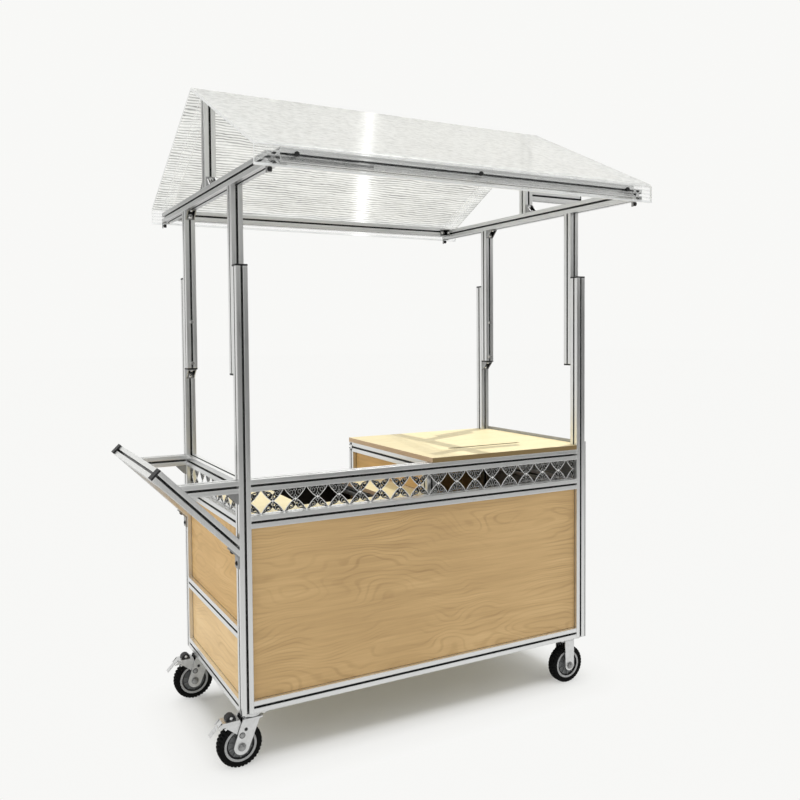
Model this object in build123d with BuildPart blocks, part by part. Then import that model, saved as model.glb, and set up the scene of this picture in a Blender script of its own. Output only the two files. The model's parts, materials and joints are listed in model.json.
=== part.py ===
from build123d import *
import os
from math import acos, atan2, cos, degrees, hypot, radians, sin, tan

# Food cart of slotted aluminium bars on four casters, under a canopy that slides up and down.
# Millimetres. X runs from the push handle to the plain end, Y from the customer's side to the
# seller's side, Z up. The origin is on the floor under the middle of the body.

# Slotted bar
profile = 40.0
slot_width = 8.2
slot_lip = 4.5
slot_cavity = 20.0
slot_floor = 9.0
slot_depth = 12.5

# Cart body: outer sizes, and the undersides of the rails above the floor
cart_length = 1440.0
cart_depth = 720.0
frame_bottom = 190.0
shelf_rail_level = 434.0
mid_rail_level = 800.0
top_rail_level = 920.0
post_top = 1650.0

# Boards and sheets
panel_thickness = 8.0
panel_insert = 9.0
board_gap = 0.5
worktop_thickness = 18.0
worktop_slot_length = 344.0
worktop_slot_width = 18.0
worktop_slot_from_front = 190.0
box_length = 716.0
deck_thickness = 15.0
cutout_length = 325.0
cutout_depth = 530.0
cutout_from_box = 308.0
cutout_rail_gap = 10.0
floor_thickness = 12.0
floor_bearing = 28.0
floor_corner_gap = 1.0
end_sheet_thickness = 6.0
end_sheet_rise = 12.0

# Fretwork band
fret_thickness = 3.0
fret_cell = 80.0
fret_circle = 35.0
fret_window = 72.0
petal_count = 5
petal_radius = 16.0
petal_length = 13.0
petal_width = 6.4
bead_count = 6
bead_radius = 28.2
bead_size = 6.0
petal_start = 24.0
bead_start = 12.0

# Push handle
handle_reach = 276.0
handle_foot_level = 741.7
handle_angle = 45.0
cap_thickness = 6.0
arm_bracket_leg = 40.0
arm_bracket_wall = 5.0

# Cast angle brackets
bracket_leg = 36.0
bracket_width = 34.0
bracket_wall = 4.0
bracket_cheek = 4.0

# Canopy
slide_gap = 0.5
canopy_foot = 1298.0
beam_level = 1913.0
beam_overhang = 310.0
eave_beam_raise = 12.0
ridge_level = 2299.0
roof_length = 1520.0
sheet_thickness = 10.0
fascia_drop = 65.0
flute_pitch = 16.0
flute_width = 14.5
flute_height = 8.0
flute_margin = 20.0
strip_width = 40.0
strip_thickness = 6.0
side_arm_reach = 276.0
side_arm_level = 2012.0
contact_gap = 0.3

# Clamp bolts of the sliding posts
clamp_rise = 25.0
clamp_pitch = 160.0
clamp_shank = 7.5
clamp_hole = 8.6
clamp_head_diameter = 13.0
clamp_head_height = 5.0
nut_height = 20.0
nut_thickness = 5.0
nut_gap = 0.4

# Fascia knobs and corner hooks
knob_diameter = 15.0
knob_height = 9.0
knob_flange = 12.0
knob_flange_height = 3.0
knob_shank = 6.0
knob_shank_length = 21.0
knob_hole = 7.5
knob_spacing = 635.0
hook_length = 30.0
hook_drop = 24.0
hook_width = 8.0
hook_wall = 3.0
hook_knob_diameter = 15.0
hook_knob_length = 9.0
hook_neck_diameter = 6.0
hook_neck_length = 4.0

# Casters
wheel_diameter = 150.0
wheel_width = 40.0
tyre_inner_diameter = 110.0
tyre_shoulder = 7.0
tread_count = 40
tread_groove = 4.5
tread_depth = 3.0
tread_length = 15.0
rim_width = 34.0
rim_inner_diameter = 92.0
web_thickness = 14.0
hub_diameter = 38.0
rib_count = 8
rib_thickness = 5.0
rib_width = 28.0
hub_width = 44.0
axle_diameter = 12.0
axle_gap = 0.3
axle_nut_across = 19.0
axle_nut_height = 7.0
plate_long = 105.0
plate_short = 85.0
plate_thickness = 5.0
plate_corner = 8.0
hole_pitch_long = 80.0
hole_pitch_short = 60.0
plate_hole = 9.0
caster_trail = 44.0
race_diameter = 66.0
race_height = 20.0
race_lip = 4.0
crown_gap = 0.6
crown_thickness = 6.0
crown_length = 66.0
crown_corner = 12.0
king_pin_diameter = 12.0
king_pin_head_diameter = 18.0
king_pin_head_height = 4.0
leg_thickness = 4.0
leg_gap = 7.0
swivel_foot_radius = 26.0
swivel_leg_width = 58.0
swivel_leg_shift = 10.0
fixed_foot_radius = 21.0
fixed_leg_width = 46.0

# Brake pedal, with places in its side view measured from the wheel's axle
pedal_pivot_rise = 38.0
pedal_pin_diameter = 6.0
pedal_pin_gap = 0.35
pedal_sheet = 2.5
pedal_cheek_gap = 1.5
pedal_root = (-3.0, 88.0)
pedal_knee = (-60.0, 87.0)
pedal_tip = (-100.0, 47.0)
pedal_tongue_width = 26.0
pedal_cheek_tip = (-76.0, 70.0)
pedal_cheek_arch = (-53.0, 73.0)
pedal_ear_radius = 9.0
shoe_clearance = 5.0
shoe_angle = 122.0
shoe_length = 22.0
shoe_thickness = 8.0

# Doors in the back of the cabinet
door_thickness = 15.0
door_gap = 3.0
hinge_height = 60.0
hinge_leaf_width = 28.0
hinge_leaf_thickness = 2.0
knuckle_diameter = 8.0
hinge_pin_diameter = 4.0
hinge_pin_gap = 0.3
knuckle_gap = 0.4
hinge_from_edge = 90.0
pull_length = 120.0
pull_diameter = 10.0
pull_stand = 30.0
pull_from_edge = 45.0

# Places that follow from the sizes above
half = profile / 2
right_face = cart_length / 2
back_face = cart_depth / 2
post_x = right_face - half
post_y = back_face - half
inner_x = right_face - profile
inner_y = back_face - profile
inner_length = 2 * inner_x
inner_depth = 2 * inner_y
bottom_rail_top = frame_bottom + profile
shelf_rail_top = shelf_rail_level + profile
mid_rail_top = mid_rail_level + profile
top_rail_top = top_rail_level + profile
worktop_top = top_rail_top + worktop_thickness
box_left = right_face - box_length
box_centre = box_left + half

canopy_y = inner_y - slide_gap - half
canopy_inner_y = canopy_y - half
beam_top = beam_level + profile
beam_reach = back_face + beam_overhang
eave_level = beam_level + eave_beam_raise
eave_top = eave_level + profile
eave_y = beam_reach - half

axle_level = wheel_diameter / 2
leg_inner = wheel_width / 2 + leg_gap
leg_outer = leg_inner + leg_thickness
swivel_x = -right_face + half + hole_pitch_short / 2
swivel_y = back_face - half - hole_pitch_long / 2
fixed_x = right_face - half - hole_pitch_long / 2
fixed_y = back_face - half - hole_pitch_short / 2
wheel_x = swivel_x - caster_trail
plate_bottom = frame_bottom - plate_thickness
race_bottom = plate_bottom - race_height
crown_top = race_bottom - crown_gap
crown_bottom = crown_top - crown_thickness

ends = (-1, 1)
corners = [(end, side) for end in ends for side in ends]
end_names = {-1: "left", 1: "right"}
side_names = {-1: "front", 1: "back"}

os.makedirs("parts", exist_ok=True)


def save(piece, name):
    """Label a finished piece and write it."""
    piece.part.label = name
    export_step(piece.part, f"parts/{name}.step")


def front_plane(x, y, z):
    """Plane that looks towards the customer, with its x along X and its y up."""
    return Plane(origin=(x, y, z), x_dir=(1, 0, 0), z_dir=(0, -1, 0))


def side_plane(x, y, z):
    """Plane that looks towards the plain end, with its x along Y and its y up."""
    return Plane(origin=(x, y, z), x_dir=(0, 1, 0), z_dir=(1, 0, 0))


def slot_section():
    """Square section with one T-slot in each side, in the sketch that is being drawn."""
    Rectangle(profile, profile)
    upper = [
        (0, slot_width / 2),
        (-slot_lip, slot_width / 2),
        (-slot_lip, slot_cavity / 2),
        (-slot_depth, slot_floor / 2),
    ]
    lower = [(x, -y) for x, y in reversed(upper)]
    with PolarLocations(half, 4):
        Polygon(*upper, *lower, align=None, mode=Mode.SUBTRACT)


def bar(start, along, length):
    """Slotted bar from the middle of its start face, in the part that is being built."""
    across = (1, 0, 0) if along[1] else (0, 1, 0)
    with BuildSketch(Plane(origin=start, x_dir=across, z_dir=along)) as section:
        slot_section()
    extrude(section.sketch, amount=length)


def board(plane, width, height, thickness):
    """Flat board about a plane through the middle of its thickness."""
    with BuildSketch(plane) as section:
        Rectangle(width, height)
    extrude(section.sketch, amount=thickness / 2, both=True)


def bracket(corner, leg_a, leg_b):
    """Cast angle bracket with two cheeks, its outer edge at a corner and its legs along two directions."""
    plane = Plane(origin=corner, x_dir=leg_a, z_dir=Vector(*leg_a).cross(Vector(*leg_b)))
    with BuildSketch(plane) as section:
        Polygon(
            (0, 0),
            (bracket_leg, 0),
            (bracket_leg, bracket_wall),
            (bracket_wall, bracket_wall),
            (bracket_wall, bracket_leg),
            (0, bracket_leg),
            align=None,
        )
    extrude(section.sketch, amount=bracket_width / 2, both=True)
    for side in ends:
        with BuildSketch(plane.offset(side * (bracket_width - bracket_cheek) / 2)) as section:
            Polygon(
                (0, 0),
                (bracket_leg, 0),
                (bracket_leg, bracket_wall),
                (bracket_wall, bracket_leg),
                (0, bracket_leg),
                align=None,
            )
        extrude(section.sketch, amount=bracket_cheek / 2, both=True)


def cap(centre, outward):
    """Square end cap that stands on the end of a bar."""
    with BuildSketch(Plane(origin=centre, x_dir=(0, 1, 0), z_dir=outward)) as section:
        Rectangle(profile, profile)
    extrude(section.sketch, amount=cap_thickness)


# Corner posts
for end, side in corners:
    with BuildPart() as post:
        bar((end * post_x, side * post_y, frame_bottom), (0, 0, 1), post_top - frame_bottom)
    save(post, f"{side_names[side]}_{end_names[end]}_post")

# Rails between the posts
with BuildPart() as front_rails:
    for level in (frame_bottom, mid_rail_level, top_rail_level):
        bar((-inner_x, -post_y, level + half), (1, 0, 0), inner_length)
save(front_rails, "front_rails")

with BuildPart() as back_rails:
    for level in (frame_bottom, mid_rail_level):
        bar((-inner_x, post_y, level + half), (1, 0, 0), inner_length)
    bar((box_left, post_y, top_rail_level + half), (1, 0, 0), inner_x - box_left)
save(back_rails, "back_rails")

with BuildPart() as left_end_rails:
    for level in (frame_bottom, shelf_rail_level, mid_rail_level, top_rail_level):
        bar((-post_x, -inner_y, level + half), (0, 1, 0), inner_depth)
save(left_end_rails, "left_end_rails")

with BuildPart() as right_end_rails:
    for level in (frame_bottom, mid_rail_level, top_rail_level):
        bar((post_x, -inner_y, level + half), (0, 1, 0), inner_depth)
save(right_end_rails, "right_end_rails")

# Cooking deck on two cross rails, with the cut-out between them
cutout_x = box_left - cutout_from_box
cross_rail_offset = cutout_length / 2 + cutout_rail_gap + half
deck_bottom = mid_rail_top - deck_thickness
with BuildPart() as deck_cross_rails:
    for end in ends:
        bar((cutout_x + end * cross_rail_offset, -inner_y, deck_bottom - half), (0, 1, 0), inner_depth)
save(deck_cross_rails, "deck_cross_rails")

deck_left = -inner_x + board_gap
deck_right = box_left - board_gap
deck_centre = (deck_left + deck_right) / 2
with BuildPart() as cooking_deck:
    with BuildSketch(Plane.XY.offset(deck_bottom)):
        with Locations((deck_centre, 0)):
            Rectangle(deck_right - deck_left, inner_depth - 2 * board_gap)
        with Locations((cutout_x, 0)):
            Rectangle(cutout_length, cutout_depth, mode=Mode.SUBTRACT)
    extrude(amount=deck_thickness)
save(cooking_deck, "cooking_deck")

# Low box under the worktop
with BuildPart() as box_rails:
    for level in (mid_rail_level, top_rail_level):
        bar((box_centre, -inner_y, level + half), (0, 1, 0), inner_depth)
save(box_rails, "box_rails")

with BuildPart() as box_studs:
    for stud_y in (-inner_y + half, post_y):
        bar((box_centre, stud_y, mid_rail_top), (0, 0, 1), top_rail_level - mid_rail_top)
save(box_studs, "box_studs")

box_panel_front = -inner_y + profile - panel_insert
box_panel_back = inner_y - board_gap
box_panel_y = (box_panel_front + box_panel_back) / 2
box_panel_bottom = mid_rail_top - slot_depth
box_panel_top = top_rail_level + panel_insert
with BuildPart() as box_side_panel:
    board(
        side_plane(box_centre, box_panel_y, (box_panel_bottom + box_panel_top) / 2),
        box_panel_back - box_panel_front,
        box_panel_top - box_panel_bottom,
        panel_thickness,
    )
save(box_side_panel, "box_side_panel")

notch = 2 * (profile + board_gap)
with BuildPart() as worktop:
    with BuildSketch(Plane.XY.offset(top_rail_top)):
        with Locations(((box_left + right_face) / 2, 0)):
            Rectangle(box_length, cart_depth)
        with Locations((right_face, -back_face), (right_face, back_face)):
            Rectangle(notch, notch, mode=Mode.SUBTRACT)
        with Locations(((box_left + right_face) / 2, -back_face + worktop_slot_from_front)):
            SlotOverall(worktop_slot_length, worktop_slot_width, mode=Mode.SUBTRACT)
    extrude(amount=worktop_thickness)
save(worktop, "worktop")

# Panels that sit on the floor of the lower rail's slot and reach into the slots round them
panel_bottom = bottom_rail_top - slot_depth
panel_top = mid_rail_level + panel_insert
with BuildPart() as front_panel:
    board(
        front_plane(0, -post_y, (panel_bottom + panel_top) / 2),
        inner_length + 2 * panel_insert,
        panel_top - panel_bottom,
        panel_thickness,
    )
save(front_panel, "front_panel")

left_bays = {
    "left_lower_panel": (bottom_rail_top, shelf_rail_level),
    "left_upper_panel": (shelf_rail_top, mid_rail_level),
}
for name, (bay_bottom, bay_top) in left_bays.items():
    low = bay_bottom - slot_depth
    high = bay_top + panel_insert
    with BuildPart() as left_panel:
        board(
            side_plane(-post_x, 0, (low + high) / 2),
            inner_depth + 2 * panel_insert,
            high - low,
            panel_thickness,
        )
    save(left_panel, name)

end_sheet_top = worktop_top + end_sheet_rise
with BuildPart() as right_end_panel:
    board(
        side_plane(right_face + end_sheet_thickness / 2, 0, (frame_bottom + end_sheet_top) / 2),
        cart_depth,
        end_sheet_top - frame_bottom,
        end_sheet_thickness,
    )
save(right_end_panel, "right_end_panel")

floor_x = right_face - floor_bearing
floor_y = back_face - floor_bearing
floor_notch = 2 * (profile - floor_bearing + floor_corner_gap)
with BuildPart() as cabinet_floor:
    with BuildSketch(Plane.XY.offset(bottom_rail_top)):
        Rectangle(2 * floor_x, 2 * floor_y)
        with GridLocations(2 * floor_x, 2 * floor_y, 2, 2):
            Rectangle(floor_notch, floor_notch, mode=Mode.SUBTRACT)
    extrude(amount=floor_thickness)
save(cabinet_floor, "cabinet_floor")

# Fretwork: four-pointed stars between half rosettes, pierced by a fan of petals inside a row of beads
petal_waist = petal_length / 5
petal = [
    (-petal_length / 2, 0),
    (petal_waist, -petal_width / 2),
    (petal_length / 2, 0),
    (petal_waist, petal_width / 2),
]
with BuildSketch() as rosette:
    with PolarLocations(petal_radius, petal_count, petal_start, 180 - 2 * petal_start, endpoint=True):
        Polygon(*petal, align=None)
    with PolarLocations(bead_radius, bead_count, bead_start, 180 - 2 * bead_start, endpoint=True):
        Rectangle(bead_size, bead_size, rotation=45)

with BuildSketch() as star:
    Rectangle(fret_window, fret_window)
    with GridLocations(fret_cell, fret_cell, 2, 2):
        Circle(fret_circle, mode=Mode.SUBTRACT)

fret_bottom = mid_rail_top - slot_depth
fret_top = top_rail_level + panel_insert
fret_middle = (mid_rail_top + top_rail_level) / 2
fret_shift = (fret_bottom + fret_top) / 2 - fret_middle
with BuildPart() as fret_link:
    with BuildSketch():
        with Locations((0, fret_shift)):
            Rectangle(fret_cell, fret_top - fret_bottom)
        with GridLocations(fret_cell, fret_cell, 2, 1):
            add(star.sketch, mode=Mode.SUBTRACT)
        with Locations((0, -fret_cell / 2)):
            add(rosette.sketch, mode=Mode.SUBTRACT)
        with Locations((0, fret_cell / 2)):
            add(rosette.sketch, rotation=180, mode=Mode.SUBTRACT)
    extrude(amount=fret_thickness / 2, both=True)

fret_bands = {
    "front_fretwork": (front_plane(0, -post_y, fret_middle), inner_length),
    "left_fretwork": (side_plane(-post_x, 0, fret_middle), inner_depth),
}
for name, (plane, length) in fret_bands.items():
    links = int(length // fret_cell) - 1
    links_half = links * fret_cell / 2
    end_width = length / 2 + panel_insert - links_half
    with BuildPart() as fretwork:
        with Locations(plane):
            with GridLocations(fret_cell, fret_cell, links, 1):
                add(fret_link.part)
        for end in ends:
            with BuildSketch(plane):
                with Locations((end * (links_half + end_width / 2), fret_shift)):
                    Rectangle(end_width, fret_top - fret_bottom)
                with Locations((end * links_half, 0)):
                    add(star.sketch, mode=Mode.SUBTRACT)
            extrude(amount=fret_thickness / 2, both=True)
    save(fretwork, name)

# Push handle: arms that rise from the left posts, a cross bar between them, and level braces
rise = tan(radians(handle_angle))
arm_along = (-cos(radians(handle_angle)), 0, sin(radians(handle_angle)))
arm_reach = handle_reach - half * sin(radians(handle_angle)) - cap_thickness * cos(radians(handle_angle))
arm_length = arm_reach / cos(radians(handle_angle))
arm_end_x = -right_face - arm_reach
arm_end_z = handle_foot_level + arm_reach * rise
arm_root = profile
with BuildPart() as handle_arms:
    for side in ends:
        start = (
            -right_face - arm_root * arm_along[0],
            side * post_y,
            handle_foot_level - arm_root * arm_along[2],
        )
        bar(start, arm_along, arm_root + arm_length)
    split(bisect_by=Plane(origin=(-right_face, 0, 0), z_dir=(-1, 0, 0)))
save(handle_arms, "handle_arms")

with BuildPart() as handle_bar:
    bar_plane = Plane(
        origin=(arm_end_x - half * arm_along[0], -inner_y, arm_end_z - half * arm_along[2]),
        x_dir=arm_along,
        z_dir=(0, 1, 0),
    )
    with BuildSketch(bar_plane):
        slot_section()
    extrude(amount=inner_depth)
save(handle_bar, "handle_bar")

arm_top_z = handle_foot_level + half / cos(radians(handle_angle))
brace_reach = (top_rail_top - arm_top_z) / rise
arm_top_plane = Plane(
    origin=(-right_face, 0, arm_top_z),
    x_dir=(0, 1, 0),
    z_dir=(sin(radians(handle_angle)), 0, cos(radians(handle_angle))),
)
with BuildPart() as handle_braces:
    for side in ends:
        bar((-right_face, side * post_y, top_rail_level + half), (-1, 0, 0), brace_reach)
    split(bisect_by=arm_top_plane)
save(handle_braces, "handle_braces")

# Brackets of the body: under the braces, under the arms, and the stops below the back sliding posts
arm_low_z = handle_foot_level - half / cos(radians(handle_angle))
leg_x = arm_bracket_leg * cos(radians(handle_angle))
leg_z = arm_bracket_leg * sin(radians(handle_angle))
wall_x = arm_bracket_wall * sin(radians(handle_angle))
wall_z = arm_bracket_wall * cos(radians(handle_angle))
with BuildPart() as frame_brackets:
    for side in ends:
        bracket((-right_face, side * post_y, top_rail_level), (-1, 0, 0), (0, 0, -1))
        with BuildSketch(front_plane(-right_face, side * post_y, arm_low_z)):
            Polygon(
                (0, 0),
                (-leg_x, leg_z),
                (-leg_x - wall_x, leg_z - wall_z),
                (-arm_bracket_wall, -arm_bracket_wall * tan(radians(handle_angle) / 2)),
                (-arm_bracket_wall, -arm_bracket_leg),
                (0, -arm_bracket_leg),
                align=None,
            )
        extrude(amount=bracket_width / 2, both=True)
    for end in ends:
        bracket((end * post_x, inner_y, canopy_foot), (0, -1, 0), (0, 0, -1))
save(frame_brackets, "frame_brackets")

with BuildPart() as end_caps:
    for end, side in corners:
        cap((end * post_x, side * post_y, post_top), (0, 0, 1))
    for side in ends:
        cap((arm_end_x, side * post_y, arm_end_z), arm_along)
save(end_caps, "end_caps")

# Canopy posts, which slide along the inner faces of the corner posts
clamp_levels = [canopy_foot + clamp_rise, canopy_foot + clamp_rise + clamp_pitch]
for end, side in corners:
    with BuildPart() as canopy_post:
        foot = canopy_foot + cap_thickness
        bar((end * post_x, side * canopy_y, foot), (0, 0, 1), beam_level - foot)
        for level in clamp_levels:
            with BuildSketch(front_plane(end * post_x, side * canopy_y, level)):
                Circle(clamp_hole / 2)
            extrude(amount=half, both=True, mode=Mode.SUBTRACT)
    save(canopy_post, f"canopy_{side_names[side]}_{end_names[end]}_post")


def nut_half_width(depth):
    """Half the width that a nut may have at a depth below the face of a slotted bar."""
    taper = (slot_cavity - slot_floor) / 2 / (slot_depth - slot_lip)
    return slot_cavity / 2 - (depth - slot_lip) * taper - 2 * nut_gap


nut_near = slot_lip + nut_gap
nut_far = nut_near + nut_thickness
with BuildPart() as slide_bolts:
    for end, side in corners:
        for level in clamp_levels:
            seat = Plane(
                origin=(end * post_x, side * canopy_inner_y, level),
                x_dir=(1, 0, 0),
                z_dir=(0, side, 0),
            )
            with BuildSketch(seat):
                Circle(clamp_head_diameter / 2)
            extrude(amount=-clamp_head_height)
            with BuildSketch(seat):
                Circle(clamp_shank / 2)
            extrude(amount=profile + slide_gap + nut_far)
            with BuildSketch(Plane(origin=(end * post_x, side * inner_y, level - nut_height / 2))):
                Polygon(
                    (-nut_half_width(nut_near), side * nut_near),
                    (nut_half_width(nut_near), side * nut_near),
                    (nut_half_width(nut_far), side * nut_far),
                    (-nut_half_width(nut_far), side * nut_far),
                    align=None,
                )
            extrude(amount=nut_height)
save(slide_bolts, "slide_bolts")

# Canopy beams, king posts and the bar at the right gable
with BuildPart() as canopy_end_beams:
    for end in ends:
        bar((end * post_x, -beam_reach, beam_level + half), (0, 1, 0), 2 * beam_reach)
save(canopy_end_beams, "canopy_end_beams")

with BuildPart() as canopy_eave_beams:
    for side in ends:
        bar((-inner_x, side * eave_y, eave_level + half), (1, 0, 0), inner_length)
save(canopy_eave_beams, "canopy_eave_beams")

# The underside of the roof meets the outer top edge of the eave beam
roof_rise = ridge_level - eave_top
roof_angle = acos(sheet_thickness / hypot(roof_rise, beam_reach)) - atan2(beam_reach, roof_rise)
sheet_height = sheet_thickness / cos(roof_angle)


def roof_underside(y):
    """Height of the roof's underside at a distance from the ridge."""
    return eave_top + (beam_reach - y) * tan(roof_angle)


with BuildPart() as king_posts:
    for end in ends:
        bar((end * post_x, 0, beam_top), (0, 0, 1), roof_underside(half) - contact_gap - beam_top)
save(king_posts, "king_posts")

with BuildPart() as side_arm:
    bar((right_face, 0, side_arm_level + half), (1, 0, 0), side_arm_reach - cap_thickness)
save(side_arm, "side_arm")

with BuildPart() as canopy_caps:
    for end, side in corners:
        cap((end * post_x, side * canopy_y, canopy_foot + cap_thickness), (0, 0, -1))
    cap((right_face + side_arm_reach - cap_thickness, 0, side_arm_level + half), (1, 0, 0))
save(canopy_caps, "canopy_caps")

# Roof sheets with open flutes along the ridge, turned down over the eave beams and mitred at the top
fold_y = beam_reach + sheet_thickness
fold_z = ridge_level - fold_y * tan(roof_angle)
fascia_bottom = fold_z - fascia_drop
knob_level = eave_level + half
knob_places = (-knob_spacing, 0, knob_spacing)
slope_length = fold_y / cos(roof_angle)
slope_flutes = int((slope_length - 2 * flute_margin) // flute_pitch)
slope_places = [flute_margin + (k + 1 / 2) * flute_pitch for k in range(slope_flutes)]
fascia_flutes = int((fascia_drop - flute_margin) // flute_pitch)
fascia_places = [fascia_bottom + (k + 1 / 2) * flute_pitch for k in range(fascia_flutes)]
for side in ends:
    flutes = [Location((side * (beam_reach + sheet_thickness / 2), z, 0), (0, 0, 90)) for z in fascia_places]
    for s in slope_places:
        y = s * cos(roof_angle) - sheet_thickness / 2 * sin(roof_angle)
        z = ridge_level - s * sin(roof_angle) - sheet_thickness / 2 * cos(roof_angle)
        flutes.append(Location((side * y, z, 0), (0, 0, -side * degrees(roof_angle))))
    with BuildPart() as roof_sheet:
        with BuildSketch(side_plane(0, 0, 0)):
            Polygon(
                (0, ridge_level),
                (side * fold_y, fold_z),
                (side * fold_y, fascia_bottom),
                (side * beam_reach, fascia_bottom),
                (side * beam_reach, eave_top),
                (0, ridge_level - sheet_height),
                align=None,
            )
            with Locations(*flutes):
                Rectangle(flute_width, flute_height, mode=Mode.SUBTRACT)
        extrude(amount=roof_length / 2, both=True)
        for x in knob_places:
            with BuildSketch(front_plane(x, side * beam_reach, knob_level)):
                Circle(knob_hole / 2)
            extrude(amount=sheet_thickness, both=True, mode=Mode.SUBTRACT)
    save(roof_sheet, f"roof_{side_names[side]}_sheet")

strip_height = strip_thickness / cos(roof_angle)
strip_start = half + contact_gap
with BuildPart() as roof_edge_strips:
    for end, side in corners:
        with BuildSketch(side_plane(end * post_x, 0, 0)):
            Polygon(
                (side * strip_start, roof_underside(strip_start)),
                (side * beam_reach, roof_underside(beam_reach)),
                (side * beam_reach, roof_underside(beam_reach) - strip_height),
                (side * strip_start, roof_underside(strip_start) - strip_height),
                align=None,
            )
        extrude(amount=strip_width / 2, both=True)
save(roof_edge_strips, "roof_edge_strips")

# Brackets of the canopy, and the hooks under its four corners
bracket_level = (eave_level + beam_top) / 2
hook_y = beam_reach - hook_knob_diameter / 2
with BuildPart() as canopy_brackets:
    for end in ends:
        bracket((end * post_x, canopy_inner_y, beam_level), (0, -1, 0), (0, 0, -1))
        bracket((end * post_x, -half, beam_top), (0, -1, 0), (0, 0, 1))
    bracket((-post_x, half, beam_top), (0, 1, 0), (0, 0, 1))
    for end, side in corners:
        bracket((end * inner_x, side * (beam_reach - profile), bracket_level), (-end, 0, 0), (0, -side, 0))
        with BuildSketch(front_plane(end * post_x - half, side * hook_y, beam_level)):
            Polygon(
                (0, 0),
                (hook_length, 0),
                (hook_length, -hook_wall),
                (hook_wall, -hook_wall),
                (hook_wall, -hook_drop),
                (0, -hook_drop),
                align=None,
            )
        extrude(amount=hook_width / 2, both=True)
save(canopy_brackets, "canopy_brackets")

hook_knob_level = beam_level - (hook_wall + hook_drop) / 2
with BuildPart() as canopy_knobs:
    for side in ends:
        for x in knob_places:
            face = Plane(origin=(x, side * fold_y, knob_level), x_dir=(1, 0, 0), z_dir=(0, side, 0))
            with BuildSketch(face):
                Circle(knob_flange / 2)
            extrude(amount=knob_flange_height)
            with BuildSketch(face.offset(knob_flange_height)):
                Circle(knob_diameter / 2)
            extrude(amount=knob_height - knob_flange_height)
            with BuildSketch(face):
                Circle(knob_shank / 2)
            extrude(amount=-knob_shank_length)
        for end in ends:
            neck_plane = side_plane(end * post_x - half + hook_wall, side * hook_y, hook_knob_level)
            with BuildSketch(neck_plane):
                Circle(hook_neck_diameter / 2)
            extrude(amount=hook_neck_length)
            with BuildSketch(neck_plane.offset(hook_neck_length)):
                Circle(hook_knob_diameter / 2)
            extrude(amount=hook_knob_length)
save(canopy_knobs, "canopy_knobs")


def caster_plate(x, y, length, width, pitch_x, pitch_y):
    """Top plate of a caster with its four bolt holes."""
    with BuildSketch(Plane(origin=(x, y, plate_bottom))) as section:
        RectangleRounded(length, width, plate_corner)
        with GridLocations(pitch_x, pitch_y, 2, 2):
            Circle(plate_hole / 2, mode=Mode.SUBTRACT)
    extrude(section.sketch, amount=plate_thickness)


def caster_leg(y, foot_x, foot_radius, top_x, top_width, top_z):
    """One leg of a fork, from its top edge to the round foot that holds the axle."""
    with BuildSketch(front_plane(0, y, 0)) as section:
        with Locations((foot_x, axle_level)):
            Circle(foot_radius)
        with Locations((top_x, top_z - leg_thickness / 2)):
            Rectangle(top_width, leg_thickness)
        make_hull()
        with Locations((foot_x, axle_level)):
            Circle(axle_diameter / 2 + axle_gap, mode=Mode.SUBTRACT)
    extrude(section.sketch, amount=leg_thickness / 2, both=True)


def axle(x, y):
    """Axle bolt with a hexagon outside each leg of its fork."""
    nut_face = leg_outer + axle_gap
    axle_half = nut_face + axle_nut_height
    with BuildSketch(front_plane(x, y, axle_level)) as section:
        Circle(axle_diameter / 2)
    extrude(section.sketch, amount=axle_half, both=True)
    for side in ends:
        nut_middle = y + side * (nut_face + axle_nut_height / 2)
        with BuildSketch(front_plane(x, nut_middle, axle_level)) as section:
            RegularPolygon(axle_nut_across / 2, 6, major_radius=False)
        extrude(section.sketch, amount=axle_nut_height / 2, both=True)


# Plane through an axle, with its x along the radius and its y along the axle
wheel_plane = Plane(origin=(0, 0, 0), x_dir=(0, 0, 1), z_dir=(-1, 0, 0))

# Swivel plates at the handle end, each with its race and king pin
king_radius = king_pin_diameter / 2
head_top = crown_bottom - axle_gap
with BuildPart() as swivel_plates:
    for side in ends:
        caster_plate(swivel_x, side * swivel_y, plate_short, plate_long, hole_pitch_short, hole_pitch_long)
        with BuildSketch(front_plane(swivel_x, side * swivel_y, 0)):
            Polygon(
                (0, plate_bottom),
                (race_diameter / 2, plate_bottom),
                (race_diameter / 2, race_bottom + race_lip),
                (race_diameter / 2 - race_lip, race_bottom),
                (king_radius, race_bottom),
                (king_radius, head_top),
                (king_pin_head_diameter / 2, head_top),
                (king_pin_head_diameter / 2, head_top - king_pin_head_height),
                (0, head_top - king_pin_head_height),
                align=None,
            )
        revolve(axis=Axis((swivel_x, side * swivel_y, 0), (0, 0, 1)))
save(swivel_plates, "swivel_plates")

# Fixed forks at the plain end
with BuildPart() as fixed_forks:
    for side in ends:
        caster_plate(fixed_x, side * fixed_y, plate_long, plate_short, hole_pitch_long, hole_pitch_short)
        for leg_side in ends:
            leg_y = side * fixed_y + leg_side * (leg_inner + leg_outer) / 2
            caster_leg(leg_y, fixed_x, fixed_foot_radius, fixed_x, fixed_leg_width, plate_bottom)
        axle(fixed_x, side * fixed_y)
save(fixed_forks, "fixed_forks")

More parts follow.
